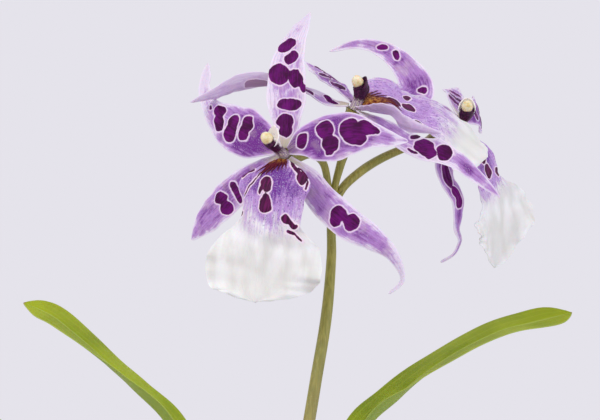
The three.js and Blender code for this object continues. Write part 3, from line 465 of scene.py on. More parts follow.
# Spike: the stem and the side stalks to the hubs, as x, y, z and radius
STEM = [
    (-9, -7.2, 97, 2.1), (-9, -8.6, 130, 2.1), (-6.5, -9, 165, 2.0), (-4, -9, 200, 2.0),
    (-1, -8.5, 235, 2.2), (2.3, -8, 270, 2.25), (6.1, -7.4, 305, 2.25), (10.9, -5.3, 335, 2.2),
    (15.1, -0.6, 360, 2.1), (17.1, 3.4, 382, 1.8), (17.3, 5, 398, 1.6), (20.8, 7.2, 407.3, 1.65),
    (27.5, 12, 413.9, 1.7), (35.7, 19, 419.2, 1.65), (45, 27, 423.4, 1.5), (54, 36.5, 426.8, 1.2),
]
STALKS = {
    "front": [(17.3, 4.9, 400, 1.2), (16, 4.2, 409, 1.3), (14, 1, 417.4, 1.45), (9.3, -5.7, 420.6, 1.7)],
    "middle": [(17.5, 5, 402, 1.2), (18.6, 5.2, 409.5, 1.35), (20.6, 4.8, 417, 1.6), (22.6, 3.8, 424, 1.85)],
}

# Ovaries: how far behind the hub they start and end, and their radii and grooves
OVARY = {"back": 7, "front": 0.7, "radius": 1.9, "swell": 1.15, "face": 2.9, "grooves": 6}

# Bracts on the stem: a point in the stem, the way the bract leans, and its length. All have the same half
# widths at foot and tip. Root and out are how far out the foot and the middle stand, and rise is the share
# of the length by which the tip stands further out.
BRACTS = [
    {"at": (-6.9, -9, 160), "lean": (-0.7, -0.7, 0), "long": 13},
    {"at": (-2.6, -8.8, 216), "lean": (0.8, -0.5, 0), "long": 12},
    {"at": (2.9, -8, 273), "lean": (-0.8, -0.4, 0), "long": 11},
    {"at": (17.2, 4.8, 397), "lean": (-0.8, -0.3, 0), "long": 7},
    {"at": (17.9, 5.6, 401.5), "lean": (0.9, 0.1, 0), "long": 6},
    {"at": (54, 36.5, 426.8), "lean": (0.5, -0.2, -0.8), "long": 6},
]
BRACT = {"half": 2.3, "tip": 0.5, "root": 1, "out": 2.4, "rise": 0.28, "thick": 0.7, "grid": (40, 20)}


def unit(vectors):
    return vectors / np.linalg.norm(vectors, axis=-1, keepdims=True)


def squared(direction, to):
    """The part of a direction that is square to another one."""
    return unit(direction - to * (direction * to).sum(-1, keepdims=True))


def circle(sides):
    """Angles of points all the way round."""
    return 2 * math.pi * np.arange(sides) / sides


def curve(rows, t):
    """Smooth curve through rows of numbers, at each t from 0 to 1."""
    rows = np.asarray(rows, float)
    t = np.atleast_1d(t)
    last = len(rows) - 1
    if last == 0:
        return np.repeat(rows, len(t), axis=0)
    i = np.clip((t * last).astype(int), 0, last - 1)
    u = t * last - i
    if rows.ndim > 1:
        u = u[:, None]
    longer = np.concatenate([[2 * rows[0] - rows[1]], rows, [2 * rows[-1] - rows[-2]]])
    a, b, c, d = (longer[i + k] for k in range(4))
    return b + 0.5 * u * (c - a + u * (2 * a - 5 * b + 4 * c - d + u * (3 * (b - c) + d - a)))


def heading(rows, t):
    """The direction in which rows of x, y, z run at t."""
    step = 1e-3
    places = np.asarray(rows, float)[:, :3]
    return unit(curve(places, np.minimum(t + step, 1)) - curve(places, np.maximum(t - step, 0)))


def ripple(points, size, seed, waves=7):
    """Smooth random height from about -1 to 1 over points, with humps about size across."""
    draw = np.random.default_rng(seed)
    total = np.zeros(points.shape[:-1])
    for _ in range(waves):
        way = unit(draw.normal(size=points.shape[-1])) * draw.uniform(0.7, 1.5)
        total += np.sin(points @ way * (math.pi / size) + draw.uniform(0, 2 * math.pi))
    return total / math.sqrt(waves)


def rising(value, low, high):
    """0 below low, 1 above high, and smooth between."""
    share = np.clip((value - low) / (high - low), 0, 1)
    return share * share * (3 - 2 * share)


def blade(spine, faces, grid, cup=(0,), fold=(0,), lift=None, wide=None, tip=0.03):
    """Middle surface of a thin blade: points from foot to tip, with t from 0 to 1 and s from -1 to 1."""
    rows, cols = grid
    spine = np.asarray(spine, float)
    even = np.linspace(0, 1, rows + 1)
    t = 0.6 * even + 0.4 * np.sin(even * math.pi / 2)
    s = np.sin(np.linspace(-math.pi / 2, math.pi / 2, cols + 1))
    along = heading(spine, t)
    face = squared(curve(faces, t), along)
    side = np.cross(along, face)
    half = np.maximum(curve(spine[:, 3], t), 0.4)
    half = half * np.sqrt(1.001 - np.clip((t - 1 + tip) / tip, 0, 1) ** 2)
    reach = half[:, None] * s
    if wide is not None:
        reach = reach * wide(t[:, None], s)
    rise = half[:, None] * (curve(cup, t)[:, None] * s**2 + curve(fold, t)[:, None] * np.abs(s))
    if lift is not None:
        rise = rise + lift(t[:, None], s[None, :], half[:, None])
    centre = curve(spine[:, :3], t)
    points = centre[:, None] + side[:, None] * reach[..., None] + face[:, None] * rise[..., None]
    steps = np.linalg.norm(np.diff(centre, axis=0), axis=1)
    length = np.concatenate([[0], np.cumsum(steps)])
    size = points.shape[:2]
    return SimpleNamespace(
        points=points,
        normal=normals(points),
        t=np.broadcast_to(t[:, None], size),
        s=np.broadcast_to(s, size),
        u=np.broadcast_to(length[:, None], size),
        v=reach,
        edge=half[:, None] * (1 - np.abs(s)),
    )


def normals(points):
    """The way a surface faces at each point of its grid."""
    return unit(np.cross(np.gradient(points, axis=1), np.gradient(points, axis=0)))


def wrinkle(sheet, height, size, seed):
    """Moves a blade's middle surface in and out by a smooth random height."""
    sheet.points = sheet.points + sheet.normal * (height * ripple(sheet.points, size, seed))[..., None]


def thinned(sheet, thick, edge, taper):
    """Thickness over a blade, which falls to a share of it at the edge and tapers towards the tip."""
    return thick * (edge + (1 - edge) * np.sqrt(1 - sheet.s**2)) * (1 - taper * sheet.t)


def shell(sheet, thick):
    """Closed skin round a blade's middle surface: points, faces, and which points are on the back."""
    rows, cols = sheet.points.shape[:2]
    out = sheet.normal * (thick / 2)[..., None]
    points = np.concatenate([(sheet.points + out).reshape(-1, 3), (sheet.points - out).reshape(-1, 3)])
    count = rows * cols
    index = np.arange(count).reshape(rows, cols)
    front = np.stack([index[:-1, :-1], index[:-1, 1:], index[1:, 1:], index[1:, :-1]], -1).reshape(-1, 4)
    rim = np.concatenate([index[0, :-1], index[:-1, -1], index[-1, :0:-1], index[:0:-1, 0]])
    after = np.roll(rim, -1)
    wall = np.stack([after, rim, rim + count, after + count], -1)
    return points, np.concatenate([front, front[:, ::-1] + count, wall]), np.repeat([0.0, 1.0], count)


def closed_skin(rings, first, last):
    """Skin over rings of points that run the same way round, with fans to a first and a last point."""
    count, sides = len(rings), len(rings[0])
    a = np.arange((count - 1) * sides).reshape(count - 1, sides)
    b = np.roll(a, -1, axis=1)
    faces = np.stack([a, b, b + sides, a + sides], -1).reshape(-1, 4).tolist()
    end = (count - 1) * sides
    for k in range(sides):
        after = (k + 1) % sides
        faces.append([count * sides, after, k])
        faces.append([count * sides + 1, end + k, end + after])
    return np.concatenate([np.reshape(rings, (-1, 3)), [first, last]]), faces


def tube(rows, sides, steps, flatness=1, start=(1, 0, 0), swell=None):
    """Rod along rows of x, y, z and radius: points, faces, and t and turn at each point."""
    t, turn = np.linspace(0, 1, steps + 1), circle(sides)
    centre = curve(rows, t)
    along = heading(rows, t)
    side = np.asarray(start, float)
    rings = []
    for i in range(steps + 1):
        side = squared(side, along[i])
        other = np.cross(along[i], side)
        radius = centre[i, 3] * (np.ones(sides) if swell is None else swell(t[i], turn))
        ring = side * (radius * np.cos(turn))[:, None] + other * (radius * flatness * np.sin(turn))[:, None]
        rings.append(centre[i, :3] + ring)
    points, faces = closed_skin(rings, centre[0, :3], centre[-1, :3])
    return points, faces, np.append(np.repeat(t, sides), [0, 1]), np.append(np.tile(turn, steps + 1), [0, 0])


def join(parts):
    """One list of points, of faces and of values at the points from several."""
    points, faces, values, count = [], [], [], 0
    for some_points, some_faces, some_values in parts:
        points.append(some_points)
        faces += [[k + count for k in face] for face in some_faces]
        values.append(np.broadcast_to(some_values, len(some_points)))
        count += len(some_points)
    return np.concatenate(points), faces, np.concatenate(values)


def mesh_of(name, points, faces, values=None, angle=60):
    """Mesh in metres with smooth shading, and a number at each point for the materials to read."""
    mesh = bpy.data.meshes.new(name)
    faces = faces.tolist() if isinstance(faces, np.ndarray) else faces
    mesh.from_pydata((np.asarray(points) * MM).tolist(), [], faces)
    for key, numbers in (values or {}).items():
        data = mesh.attributes.new(key, "FLOAT", "POINT").data
        data.foreach_set("value", np.asarray(numbers, np.float32).ravel())
    mesh.update()
    mesh.shade_smooth()
    if angle:
        mesh.set_sharp_from_angle(angle=math.radians(angle))
    return mesh


def placed(name, data):
    """A new object in the scene."""
    made = bpy.data.objects.new(name, data)
    bpy.context.scene.collection.objects.link(made)
    return made


def add(mesh, material, slot, *nodes):
    """Puts a mesh in the scene as a piece of the plant that stands for those nodes of the model."""
    made = placed(mesh.name, mesh)
    mesh.materials.append(material)
    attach(made, "root")
    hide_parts(*nodes)
    return made


def add_sheet(name, sheet, thick, material, slot, *nodes, **grids):
    """Adds a blade as a piece, with values that are the same on its front and its back."""
    points, skin, back = shell(sheet, thick)
    size = sheet.points.shape[:2]
    values = {key: np.tile(np.broadcast_to(grid, size).ravel(), 2) for key, grid in grids.items()}
    add(mesh_of(name, points, skin, {**values, "back": back}), material, slot, *nodes)


def linear(text):
    """Colour for a socket from its six hexadecimal digits."""
    shares = [int(text[k : k + 2], 16) / 255 for k in (1, 3, 5)]
    return [c / 12.92 if c <= 0.04045 else ((c + 0.055) / 1.055) ** 2.4 for c in shares] + [1]


class Paint:
    """A material whose nodes are made by nested calls. Each call gives an output to use in the next."""

    def __init__(self, name, **fixed):
        self.material = bpy.data.materials.new(name)
        self.material.use_nodes = True
        self.tree = self.material.node_tree
        self.shader = next(n for n in self.tree.nodes if n.type == "BSDF_PRINCIPLED")
        for key, value in fixed.items():
            self.shader.inputs[key.replace("_", " ")].default_value = value

    def node(self, kind, inputs, output=0, **settings):
        made = self.tree.nodes.new("ShaderNode" + kind)
        for key, value in settings.items():
            setattr(made, key, value)
        for key, value in inputs.items():
            self.put(made.inputs[key], value)
        return made.outputs[output]

    def put(self, socket, value):
        if isinstance(value, bpy.types.NodeSocket):
            self.tree.links.new(value, socket)
        else:
            socket.default_value = linear(value) if isinstance(value, str) else value

    def math(self, operation, a, b=0, c=0):
        return self.node("Math", {0: a, 1: b, 2: c}, operation=operation)

    def times(self, a, b):
        return self.math("MULTIPLY", a, b)

    def sway(self, noise, amount, base):
        """A base that a noise moves up and down, by half the amount each way."""
        return self.math("MULTIPLY_ADD", self.math("SUBTRACT", noise, 0.5), amount, base)

    def value(self, name):
        return self.node("Attribute", {}, "Fac", attribute_type="GEOMETRY", attribute_name=name)

    def place(self, stretch=(1, 1, 1)):
        return self.node("Mapping", {"Vector": self.node("TexCoord", {}, "Object"), "Scale": stretch})

    def sheet(self, along, across):
        """Place on a blade, from its foot and from its midrib, stretched by those two numbers."""
        x, y = self.times(self.value("u"), along), self.times(self.value("v"), across)
        return self.node("CombineXYZ", {"X": x, "Y": y})

    def noise(self, size, detail=2, stretch=(1, 1, 1), roughness=0.5, at=None):
        """Soft noise with features about size millimetres across."""
        inputs = {"Scale": 1 / (size * MM), "Detail": detail, "Roughness": roughness}
        return self.node("TexNoise", {"Vector": at or self.place(stretch), **inputs}, "Fac")

    def cells(self, size, at=None):
        """Distance from the middle of cells about size millimetres across."""
        return self.node("TexVoronoi", {"Vector": at or self.place(), "Scale": 1 / (size * MM)}, "Distance")

    def steps(self, value, low, high, start=0, end=1):
        """Start below low, end above high, and smooth between."""
        inputs = {"Value": value, "From Min": low, "From Max": high, "To Min": start, "To Max": end}
        return self.node("MapRange", inputs, interpolation_type="SMOOTHSTEP")

    def lines(self, across, count, waver):
        """Thin lines that run along a blade: 0 between them, 1 on them."""
        near = self.math("PINGPONG", self.math("MULTIPLY_ADD", across, count, waver), 0.5)
        return self.steps(near, 0, 0.16, 1, 0)

    def layers(self, colour, *layers):
        """Lays tints over a colour. Each has a share, or a value and the steps that turn it into one."""
        for tint, value, *span in layers:
            share = self.steps(value, *span) if span else value
            colour = self.node("Mix", {0: share, 6: colour, 7: tint}, 2, data_type="RGBA")
        return colour

    def bump(self, height, distance, strength=1, normal=None):
        inputs = {"Height": height, "Distance": distance * MM, "Strength": strength}
        if normal is not None:
            inputs["Normal"] = normal
        return self.node("Bump", inputs)

    def finish(self, **inputs):
        for key, value in inputs.items():
            self.put(self.shader.inputs[key.replace("_", " ")], value)
        return self.material


def tepal_paint():
    """Lavender to violet with streaks, grain and pale glints, dark spots in pale rims, and a paler back that
    is partly painted light.
    """
    paint = Paint("tepal", Subsurface_Weight=0.1, Subsurface_Scale=0.001, Specular_IOR_Level=0.15)
    edge, back = paint.value("edge"), paint.value("back")
    veins = paint.lines(paint.value("across"), 6, paint.times(paint.noise(5), 1.6))
    streaks = paint.noise(0.8, 3, at=paint.sheet(0.14, 1), roughness=0.6)
    patches = paint.noise(5.5, 3)
    grain = paint.noise(0.42, roughness=0.7)
    depth = paint.sway(patches, 1.5, paint.value("violet"))
    depth = paint.sway(grain, 0.5, paint.sway(streaks, 1, depth))
    depth = paint.math("SUBTRACT", depth, paint.steps(edge, 0.3, 3.2, 0.3, 0))
    glints = paint.times(paint.steps(grain, 0.52, 0.72), paint.steps(patches, 0.35, 0.6, 0.1, 0.42))
    skin = paint.layers(
        "#e6dbed",
        ("#b487c9", depth, 0, 0.5),
        ("#732c8c", depth, 0.5, 1),
        ("#6f3f8c", paint.times(veins, 0.25)),
        ("#d8cbc4", paint.noise(7, stretch=(1.3, 1, 1)), 0.52, 0.72, 0, 0.25),
        ("#d2ccb0", paint.sway(streaks, 1.2, paint.value("cream")), 0.1, 0.9),
        ("#efe6f4", paint.times(glints, 0.8)),
        ("#f1e8f6", edge, 0.1, 0.9, 0.75, 0),
        # paler back: partly the tepals' own paler underside, partly painted light that lifts the shade the
        # undersides lie in
        ("#e0cbea", paint.times(back, 0.55)),
    )
    deep = paint.math("ADD", paint.times(patches, 0.6), paint.times(streaks, 0.5))
    dark = paint.layers("#40003a", ("#6c046e", deep, 0.42, 0.7), ("#8c4a80", paint.times(back, 0.6)))
    ragged = paint.sway(paint.noise(0.9), 0.3, paint.value("spot"))
    hidden = paint.times(back, paint.math("SUBTRACT", 1, paint.value("through")))
    shown = paint.math("SUBTRACT", 1, hidden)
    colour = paint.layers(
        skin,
        ("#f0dcf0", paint.times(paint.steps(ragged, 0.2, 0.85, 0.85, 0), shown)),
        (dark, paint.times(paint.steps(ragged, -0.1, 0.15, 1, 0), shown)),
    )
    raised = paint.bump(veins, 0.1, 0.5, paint.bump(grain, 0.06, 0.6))
    raised = paint.bump(streaks, 0.12, 0.5, raised)
    return paint.finish(Base_Color=colour, Roughness=paint.steps(grain, 0.3, 0.7, 0.5, 0.7), Normal=raised)


def lip_paint():
    """White blade with faint folds, painted grey shade in the folds and low in the middle, violet and finely
    specked near the foot, and dark marks in pale rims.
    """
    paint = Paint("lip", Subsurface_Weight=0.15, Subsurface_Scale=0.0012, Specular_IOR_Level=0.2)
    violet, across, back = paint.value("violet"), paint.value("across"), paint.value("back")
    veins = paint.lines(across, 9, paint.times(paint.noise(6), 1.4))
    streaks = paint.noise(0.9, 3, at=paint.sheet(0.12, 1), roughness=0.6)
    grain = paint.noise(0.45, roughness=0.75)
    # This noise drives both the bump of the pleats and the painted grey shade in their hollows
    folds = paint.noise(5.5, at=paint.sheet(0.45, 1), roughness=0.4)
    patches = paint.math("SUBTRACT", paint.noise(4.5, 3), 0.5)
    shown = paint.steps(violet, 0, 0.3)
    depth = paint.math("MULTIPLY_ADD", paint.times(paint.sway(streaks, 0.9, patches), shown), 0.9, violet)
    # low and inner mark where the painted grey shade lies: low down and in the middle of the blade
    low = paint.steps(paint.value("u"), 0.034, 0.048, 0, 0.55)
    inner = paint.steps(paint.math("ABSOLUTE", across), 0.3, 0.95, 1, 0)
    dots = paint.steps(paint.cells(0.75, at=paint.sheet(0.55, 1.1)), 0.14, 0.34, 1, 0)
    dark = paint.layers("#3c0230", ("#6a1056", streaks, 0.4, 0.65))
    ragged = paint.sway(paint.noise(0.9), 0.35, paint.value("spot"))
    faded = paint.math("MULTIPLY_ADD", back, -0.7, 1)
    colour = paint.layers(
        "#f6f8f5",
        # painted shade: warm grey laid in the hollows of the folds
        ("#dfe1da", folds, 0.35, 0.7),
        # painted shade: grey low in the middle of the blade
        ("#dadbd3", paint.times(low, inner)),
        ("#bb91d2", depth, 0, 0.5),
        ("#6f2c94", depth, 0.5, 1),
        ("#8a5cb0", paint.times(paint.times(veins, 0.25), shown)),
        ("#5a2685", paint.times(dots, paint.steps(violet, 0.04, 0.4, 0, 0.75))),
        ("#f4eef8", paint.times(paint.steps(grain, 0.5, 0.7, 0, 0.4), shown)),
        ("#f4e0ee", ragged, 0.25, 0.75, 0.85, 0),
        (dark, paint.times(paint.steps(ragged, -0.08, 0.12, 1, 0), faded)),
        ("#e9e4ed", paint.times(back, 0.3)),
    )
    raised = paint.bump(folds, 0.5, 0.35, paint.bump(grain, 0.06, 0.5))
    raised = paint.bump(veins, 0.08, 0.5, raised)
    return paint.finish(Base_Color=colour, Roughness=paint.steps(grain, 0.3, 0.7, 0.5, 0.65), Normal=raised)


def callus_paint():
    """Golden, rust-flecked foot, then maroon with darker flecks, and a pinker tip."""
    paint = Paint("callus", Subsurface_Weight=0.05, Subsurface_Scale=0.0008, Specular_IOR_Level=0.3)
    run, flecks = paint.value("run"), paint.noise(0.9, 3, roughness=0.7)
    colour = paint.layers(
        "#c48a30",
        ("#741c14", flecks, 0.38, 0.58),
        ("#620824", run, 0.08, 0.45),
        ("#33040f", flecks, 0.5, 0.66, 0, 0.5),
        ("#a6607f", run, 0.93, 1),
    )
    return paint.finish(Base_Color=colour, Roughness=0.45, Normal=paint.bump(flecks, 0.08, 0.5))


def column_paint():
    """Nearly black purple, white on the side of a white hood, and a creamy, striped foot."""
    paint = Paint("column", Subsurface_Weight=0.06, Subsurface_Scale=0.0008, Specular_IOR_Level=0.3)
    grain = paint.noise(0.8, 3, roughness=0.7)
    stripes = paint.lines(paint.value("turn"), 2.2, paint.times(paint.noise(2), 1.2))
    foot = paint.layers("#d9d2bc", ("#ab90b4", grain, 0.4, 0.6), ("#5b2350", paint.times(stripes, 0.85)))
    dark = paint.layers("#2a0626", ("#5a1448", grain, 0.4, 0.7))
    white = paint.layers("#f5f1ea", ("#cdb7d4", grain, 0.55, 0.7))
    colour = paint.layers(
        foot,
        (dark, paint.sway(grain, 0.3, paint.value("run")), 0.3, 0.5),
        (white, paint.sway(grain, 0.5, paint.value("top")), 0.35, 0.6),
    )
    return paint.finish(Base_Color=colour, Roughness=0.42, Normal=paint.bump(grain, 0.1, 0.5))


def cap_paint():
    """Creamy yellow, paler in places, with a few brownish specks and a purple foot."""
    paint = Paint("anther_cap", Subsurface_Weight=0.25, Subsurface_Scale=0.001, Coat_Weight=0.15)
    cloud = paint.noise(1.6, 3)
    colour = paint.layers(
        "#f4ecc8",
        ("#e3cf8c", cloud, 0.3, 0.7),
        ("#8d5a4a", paint.cells(0.8), 0.08, 0.2, 0.5, 0),
        ("#6b2b50", paint.value("run"), 0, 0.2, 0.7, 0),
    )
    return paint.finish(Base_Color=colour, Roughness=0.42, Normal=paint.bump(cloud, 0.08, 0.5))


def leaf_paint():
    """Yellowish green, greyer on the back, with parallel veins, pale midrib and edge, and a darker foot."""
    paint = Paint("leaf", Subsurface_Weight=0.1, Subsurface_Scale=0.002, Specular_IOR_Level=0.14)
    run, across = paint.value("run"), paint.value("across")
    waver = paint.times(paint.noise(30, 1), 0.5)
    veins = paint.lines(across, 11, waver)
    grain = paint.noise(0.8, roughness=0.65)
    colour = paint.layers(
        "#7c9200",
        ("#a2b41c", paint.noise(22, 3), 0.3, 0.7),
        ("#55731a", run, 0, 0.6, 1, 0),
        ("#b2bc30", run, 0.45, 0.9, 0, 0.35),
        ("#5f7a04", paint.times(veins, 0.25)),
        ("#b2c236", paint.times(paint.lines(across, 3, waver), 0.3)),
        ("#bccf6a", paint.math("ABSOLUTE", across), 0.02, 0.09, 0.55, 0),
        ("#b5c46e", paint.value("edge"), 0.1, 0.5, 0.5, 0),
        ("#9a7a3e", run, 0.985, 1, 0, 0.8),
        ("#8ba63c", paint.times(paint.value("back"), 0.45)),
    )
    raised = paint.bump(veins, 0.12, 0.5, paint.bump(grain, 0.06, 0.4))
    return paint.finish(Base_Color=colour, Roughness=paint.steps(grain, 0.3, 0.7, 0.42, 0.58), Normal=raised)


def bulb_paint():
    """Green with fine lines up the bulb, yellower with age, brown flecks and a browner foot."""
    coat = {"Coat_Weight": 0.15, "Coat_Roughness": 0.3}
    paint = Paint("bulb", Subsurface_Weight=0.1, Subsurface_Scale=0.002, **coat)
    age, cloud = paint.value("age"), paint.noise(9, 3)
    streaks = paint.noise(1.2, 3, stretch=(1, 1, 0.08))
    specks = paint.steps(paint.cells(3.2), 0.05, 0.16, 0.6, 0)
    colour = paint.layers(
        "#5f8330",
        ("#86a244", cloud, 0.3, 0.7),
        ("#456a24", streaks, 0.4, 0.65, 0, 0.45),
        ("#a39a4a", paint.times(age, 0.45)),
        ("#5a3f20", paint.times(specks, paint.math("ADD", age, 0.2))),
        ("#8a6a3c", paint.sway(cloud, 0.25, paint.value("run")), 0.02, 0.16, 0.85, 0),
        ("#8a6a3c", paint.value("turn"), 5.9, 6.2, 0, 0.2),
    )
    rough = paint.steps(streaks, 0.3, 0.7, 0.35, 0.52)
    return paint.finish(Base_Color=colour, Roughness=rough, Normal=paint.bump(streaks, 0.25, 0.6))


def stem_paint():
    """Olive green with a brown flush, fine lines along the stem, and paler specks."""
    coat = {"Coat_Weight": 0.1, "Coat_Roughness": 0.35}
    paint = Paint("stem", Subsurface_Weight=0.1, Subsurface_Scale=0.001, **coat)
    streaks = paint.noise(0.7, 3, stretch=(1, 1, 0.06))
    colour = paint.layers(
        "#87832c",
        ("#a29c40", streaks, 0.35, 0.65),
        ("#727a2c", paint.noise(14, 3), 0.35, 0.7, 0, 0.4),
        ("#94826e", paint.value("flush")),
        ("#bdb682", paint.cells(1.5), 0.06, 0.16, 0.45, 0),
    )
    return paint.finish(Base_Color=colour, Roughness=0.45, Normal=paint.bump(streaks, 0.12, 0.6))


def bract_paint():
    """Thin dry bract: straw brown with green clouds and long veins."""
    paint = Paint("dry_sheath", Subsurface_Weight=0.1, Subsurface_Scale=0.001)
    cloud, streaks = paint.noise(5, 3), paint.noise(0.8, 3, stretch=(1, 1, 0.07))
    colour = paint.layers(
        "#b59f6a",
        ("#8f9a4e", cloud, 0.35, 0.65),
        ("#7d6a40", streaks, 0.4, 0.65, 0, 0.55),
    )
    return paint.finish(Base_Color=colour, Roughness=0.7, Normal=paint.bump(streaks, 0.15, 0.6))


def bark_paint():
    """Pine bark: layered browns, each chip its own shade, with grey weathering."""
    paint = Paint("bark")
    layers = paint.noise(1.6, 4, stretch=(0.6, 0.6, 2.2), roughness=0.65)
    pits = paint.noise(0.7, 3, roughness=0.7)
    colour = paint.layers(
        "#4a2c1a",
        ("#9a6a42", paint.value("shade")),
        ("#2e1b11", layers, 0.4, 0.65, 0, 0.65),
        ("#8b8072", paint.noise(6), 0.55, 0.75, 0, 0.5),
    )
    raised = paint.bump(layers, 0.7, 0.8, paint.bump(pits, 0.25, 0.6))
    return paint.finish(Base_Color=colour, Roughness=paint.steps(pits, 0.3, 0.7, 0.75, 0.95), Normal=raised)


def root_paint():
    """Silvery roots, browner in places, with a greener end, on a brown rhizome."""
    paint = Paint("root", Subsurface_Weight=0.05, Subsurface_Scale=0.001)
    run = paint.value("run")
    colour = paint.layers(
        "#c9c8b6",
        ("#9fa387", paint.noise(3.5, 4, roughness=0.6), 0.35, 0.65),
        ("#8a6b47", paint.noise(8), 0.5, 0.72, 0, 0.7),
        ("#8a9a4a", run, 0.9, 1, 0, 0.7),
        ("#7d6a3c", run, -0.6, -0.1, 0.8, 0),
    )
    pits = paint.noise(0.6, 3, roughness=0.7)
    return paint.finish(Base_Color=colour, Roughness=0.82, Normal=paint.bump(pits, 0.12, 0.6))


def pot_paint():
    """Fired clay: warm orange brown with pores, turning lines, and white salts on the rim and foot."""
    paint = Paint("terracotta")
    height = paint.value("height")
    grain = paint.noise(0.8, 4, roughness=0.75)
    rings = paint.noise(2.2, stretch=(0.02, 0.02, 1))
    ends = paint.math("MAXIMUM", paint.steps(height, 0, 0.35, 0.75, 0), paint.steps(height, 0.78, 1, 0, 0.6))
    salts = paint.steps(paint.noise(9, 5, roughness=0.7), 0.48, 0.68)
    colour = paint.layers(
        "#b8683f",
        ("#c98155", paint.noise(26, 4), 0.3, 0.7),
        ("#8f4b2b", grain, 0.45, 0.7, 0, 0.35),
        ("#a8592f", rings, 0.45, 0.6, 0, 0.2),
        ("#e2cfc0", paint.times(salts, ends)),
    )
    raised = paint.bump(rings, 0.5, 0.35, paint.bump(grain, 0.15, 0.6))
    return paint.finish(Base_Color=colour, Roughness=paint.steps(grain, 0.3, 0.7, 0.78, 0.95), Normal=raised)


def floor_paint():
    """Plain pale matt floor."""
    paint = Paint("floor")
    colour = paint.layers("#e0dee5", ("#e3e1e8", paint.noise(160, 3), 0.2, 0.8))
    return paint.finish(Base_Color=colour, Roughness=0.9, Normal=paint.bump(paint.noise(2, 3), 0.05, 0.3))


def oval_distance(u, v, oval):
    """About how far each place is outside a rounded oval, in millimetres, and less than 0 inside."""
    along, across, long, wide, turn = oval
    angle = math.radians(turn)
    x = ((u - along) * math.cos(angle) + (v - across) * math.sin(angle)) / long
    y = ((v - across) * math.cos(angle) - (u - along) * math.sin(angle)) / wide
    power = 2.5
    size = (np.abs(x) ** power + np.abs(y) ** power + 1e-9) ** (1 / power)
    slope = np.hypot(np.abs(x) ** (power - 1) / long, np.abs(y) ** (power - 1) / wide) / size ** (power - 1)
    return (size - 1) / np.maximum(slope, 1e-3)


def spot_distance(sheet, spots):
    """Distance to the nearest spot, whose outline is a little uneven. The ovals of one spot run together."""
    flat = np.stack([sheet.u, sheet.v], -1)
    u, v = (flat[..., k] + SPOT["uneven"] * ripple(flat, SPOT["size"], k + 1) for k in (0, 1))
    nearest = np.full(u.shape, SPOT["far"])
    for spot in spots:
        merged = oval_distance(u, v, spot[0])
        for oval in spot[1:]:
            away = oval_distance(u, v, oval)
            share = np.maximum(SPOT["soft"] - np.abs(merged - away), 0) / SPOT["soft"]
            merged = np.minimum(merged, away) - share**2 * SPOT["soft"] / 4
        nearest = np.minimum(nearest, merged)
    return nearest


def spine_from(flower, rows, layer, root):
    """The spine of a tepal or lip, from its foot on the ring round the column."""
    look = unit(np.array(LOOKS[flower], float))
    rows = np.asarray(rows, float)
    foot = look * layer + squared(rows[0, :3], look) * RING
    spine = np.concatenate([[[*foot, root]], rows])
    spine[:, :3] += HUBS[flower]
    return spine


def seed_of(name):
    """A number that goes with a name."""
    return sum(ord(letter) for letter in name)


def tepal(node, shape, paint):
    """Sepal or petal with a faint keel, a slightly waved edge and its spots."""
    flower, sepal = node.split("_")[0], node.endswith("sepal")
    spine = spine_from(flower, shape["rows"], SEPAL_LAYER if sepal else PETAL_LAYER, TEPAL["root"])
    phase = seed_of(node) % 7

    def lift(t, s, half):
        wave = np.sin(2 * math.pi * 3.2 * t + phase + s)
        keel = -0.25 * np.exp(-((s * half / 0.7) ** 2))
        return 0.035 * half * np.abs(s) ** 3 * wave + keel * np.minimum(1, half / 3)

    def wide(t, s):
        return 1 + 0.022 * np.sin(2 * math.pi * 5.3 * t + phase + 1.3 * np.sign(s)) * np.abs(s)

    faces, cup = shape.get("faces", [LOOKS[flower]]), shape.get("cup", TEPAL["cup"])
    sheet = blade(spine, faces, TEPAL["grid"], cup=cup, lift=lift, wide=wide)
    wrinkle(sheet, 0.12, 3.2, seed_of(node))
    grids = {
        "spot": spot_distance(sheet, shape["spots"]),
        "violet": curve(shape["violet"], sheet.t[:, 0])[:, None] * (1 - 0.35 * np.abs(sheet.s) ** 2.5),
        "cream": rising(-sheet.u, -9, -2) * (0.75 if sepal else 0.3),
        "across": sheet.s,
        "edge": sheet.edge,
        "through": shape.get("through", TEPAL["through"]),
        "u": sheet.u * MM,
        "v": sheet.v * MM,
    }
    thick = thinned(sheet, TEPAL["thick"], 0.3, 0.35)
    add_sheet("fine_" + node, sheet, thick, paint, "tepal", node, **grids)


def lip(node, shape, paint, callus):
    """Lip with rolled sides, a ruffled edge and soft pleats, and its callus."""
    spine = spine_from(node.split("_")[0], shape["rows"], PETAL_LAYER, LIP["root"])

    def lift(t, s, half):
        edge = np.abs(s) ** 3 * np.minimum(1, 2 * t)
        shift = np.where(s > 0, RUFFLE["shift"], 0)
        broad = RUFFLE["share"] * np.sin(2 * math.pi * RUFFLE["waves"] * t + shift)
        small = 0.025 * np.sin(2 * math.pi * 13 * t + 2 * shift)
        pleats = 0.018 * np.cos(9 * s) * rising(t, 0.3, 0.6)
        return half * (edge * (broad + small) + pleats)

    def wide(t, s):
        left, right = (curve(shape.get(side, [1]), t[:, 0])[:, None] for side in ("left", "right"))
        return np.where(s > 0, left, right)

    cup = shape.get("cup", LIP["cup"])
    sheet = blade(spine, shape["faces"], LIP["grid"], cup=cup, lift=lift, wide=wide, tip=0.05)
    wrinkle(sheet, 0.16, 4.5, len(node))
    violet = curve(shape["violet"], sheet.t[:, 0])[:, None] * (1 - 0.5 * sheet.s**2)
    grids = {
        "spot": spot_distance(sheet, shape["spots"]),
        "violet": np.maximum(violet, 0),
        "across": sheet.s,
        "u": sheet.u * MM,
        "v": sheet.v * MM,
    }
    thick = thinned(sheet, LIP["thick"], 0.35, 0.3)
    add_sheet("fine_" + node, sheet, thick, paint, "lip", node, **grids)
    keels(node.replace("lip", "callus"), sheet, *shape.get("callus", (1, 1)), callus)


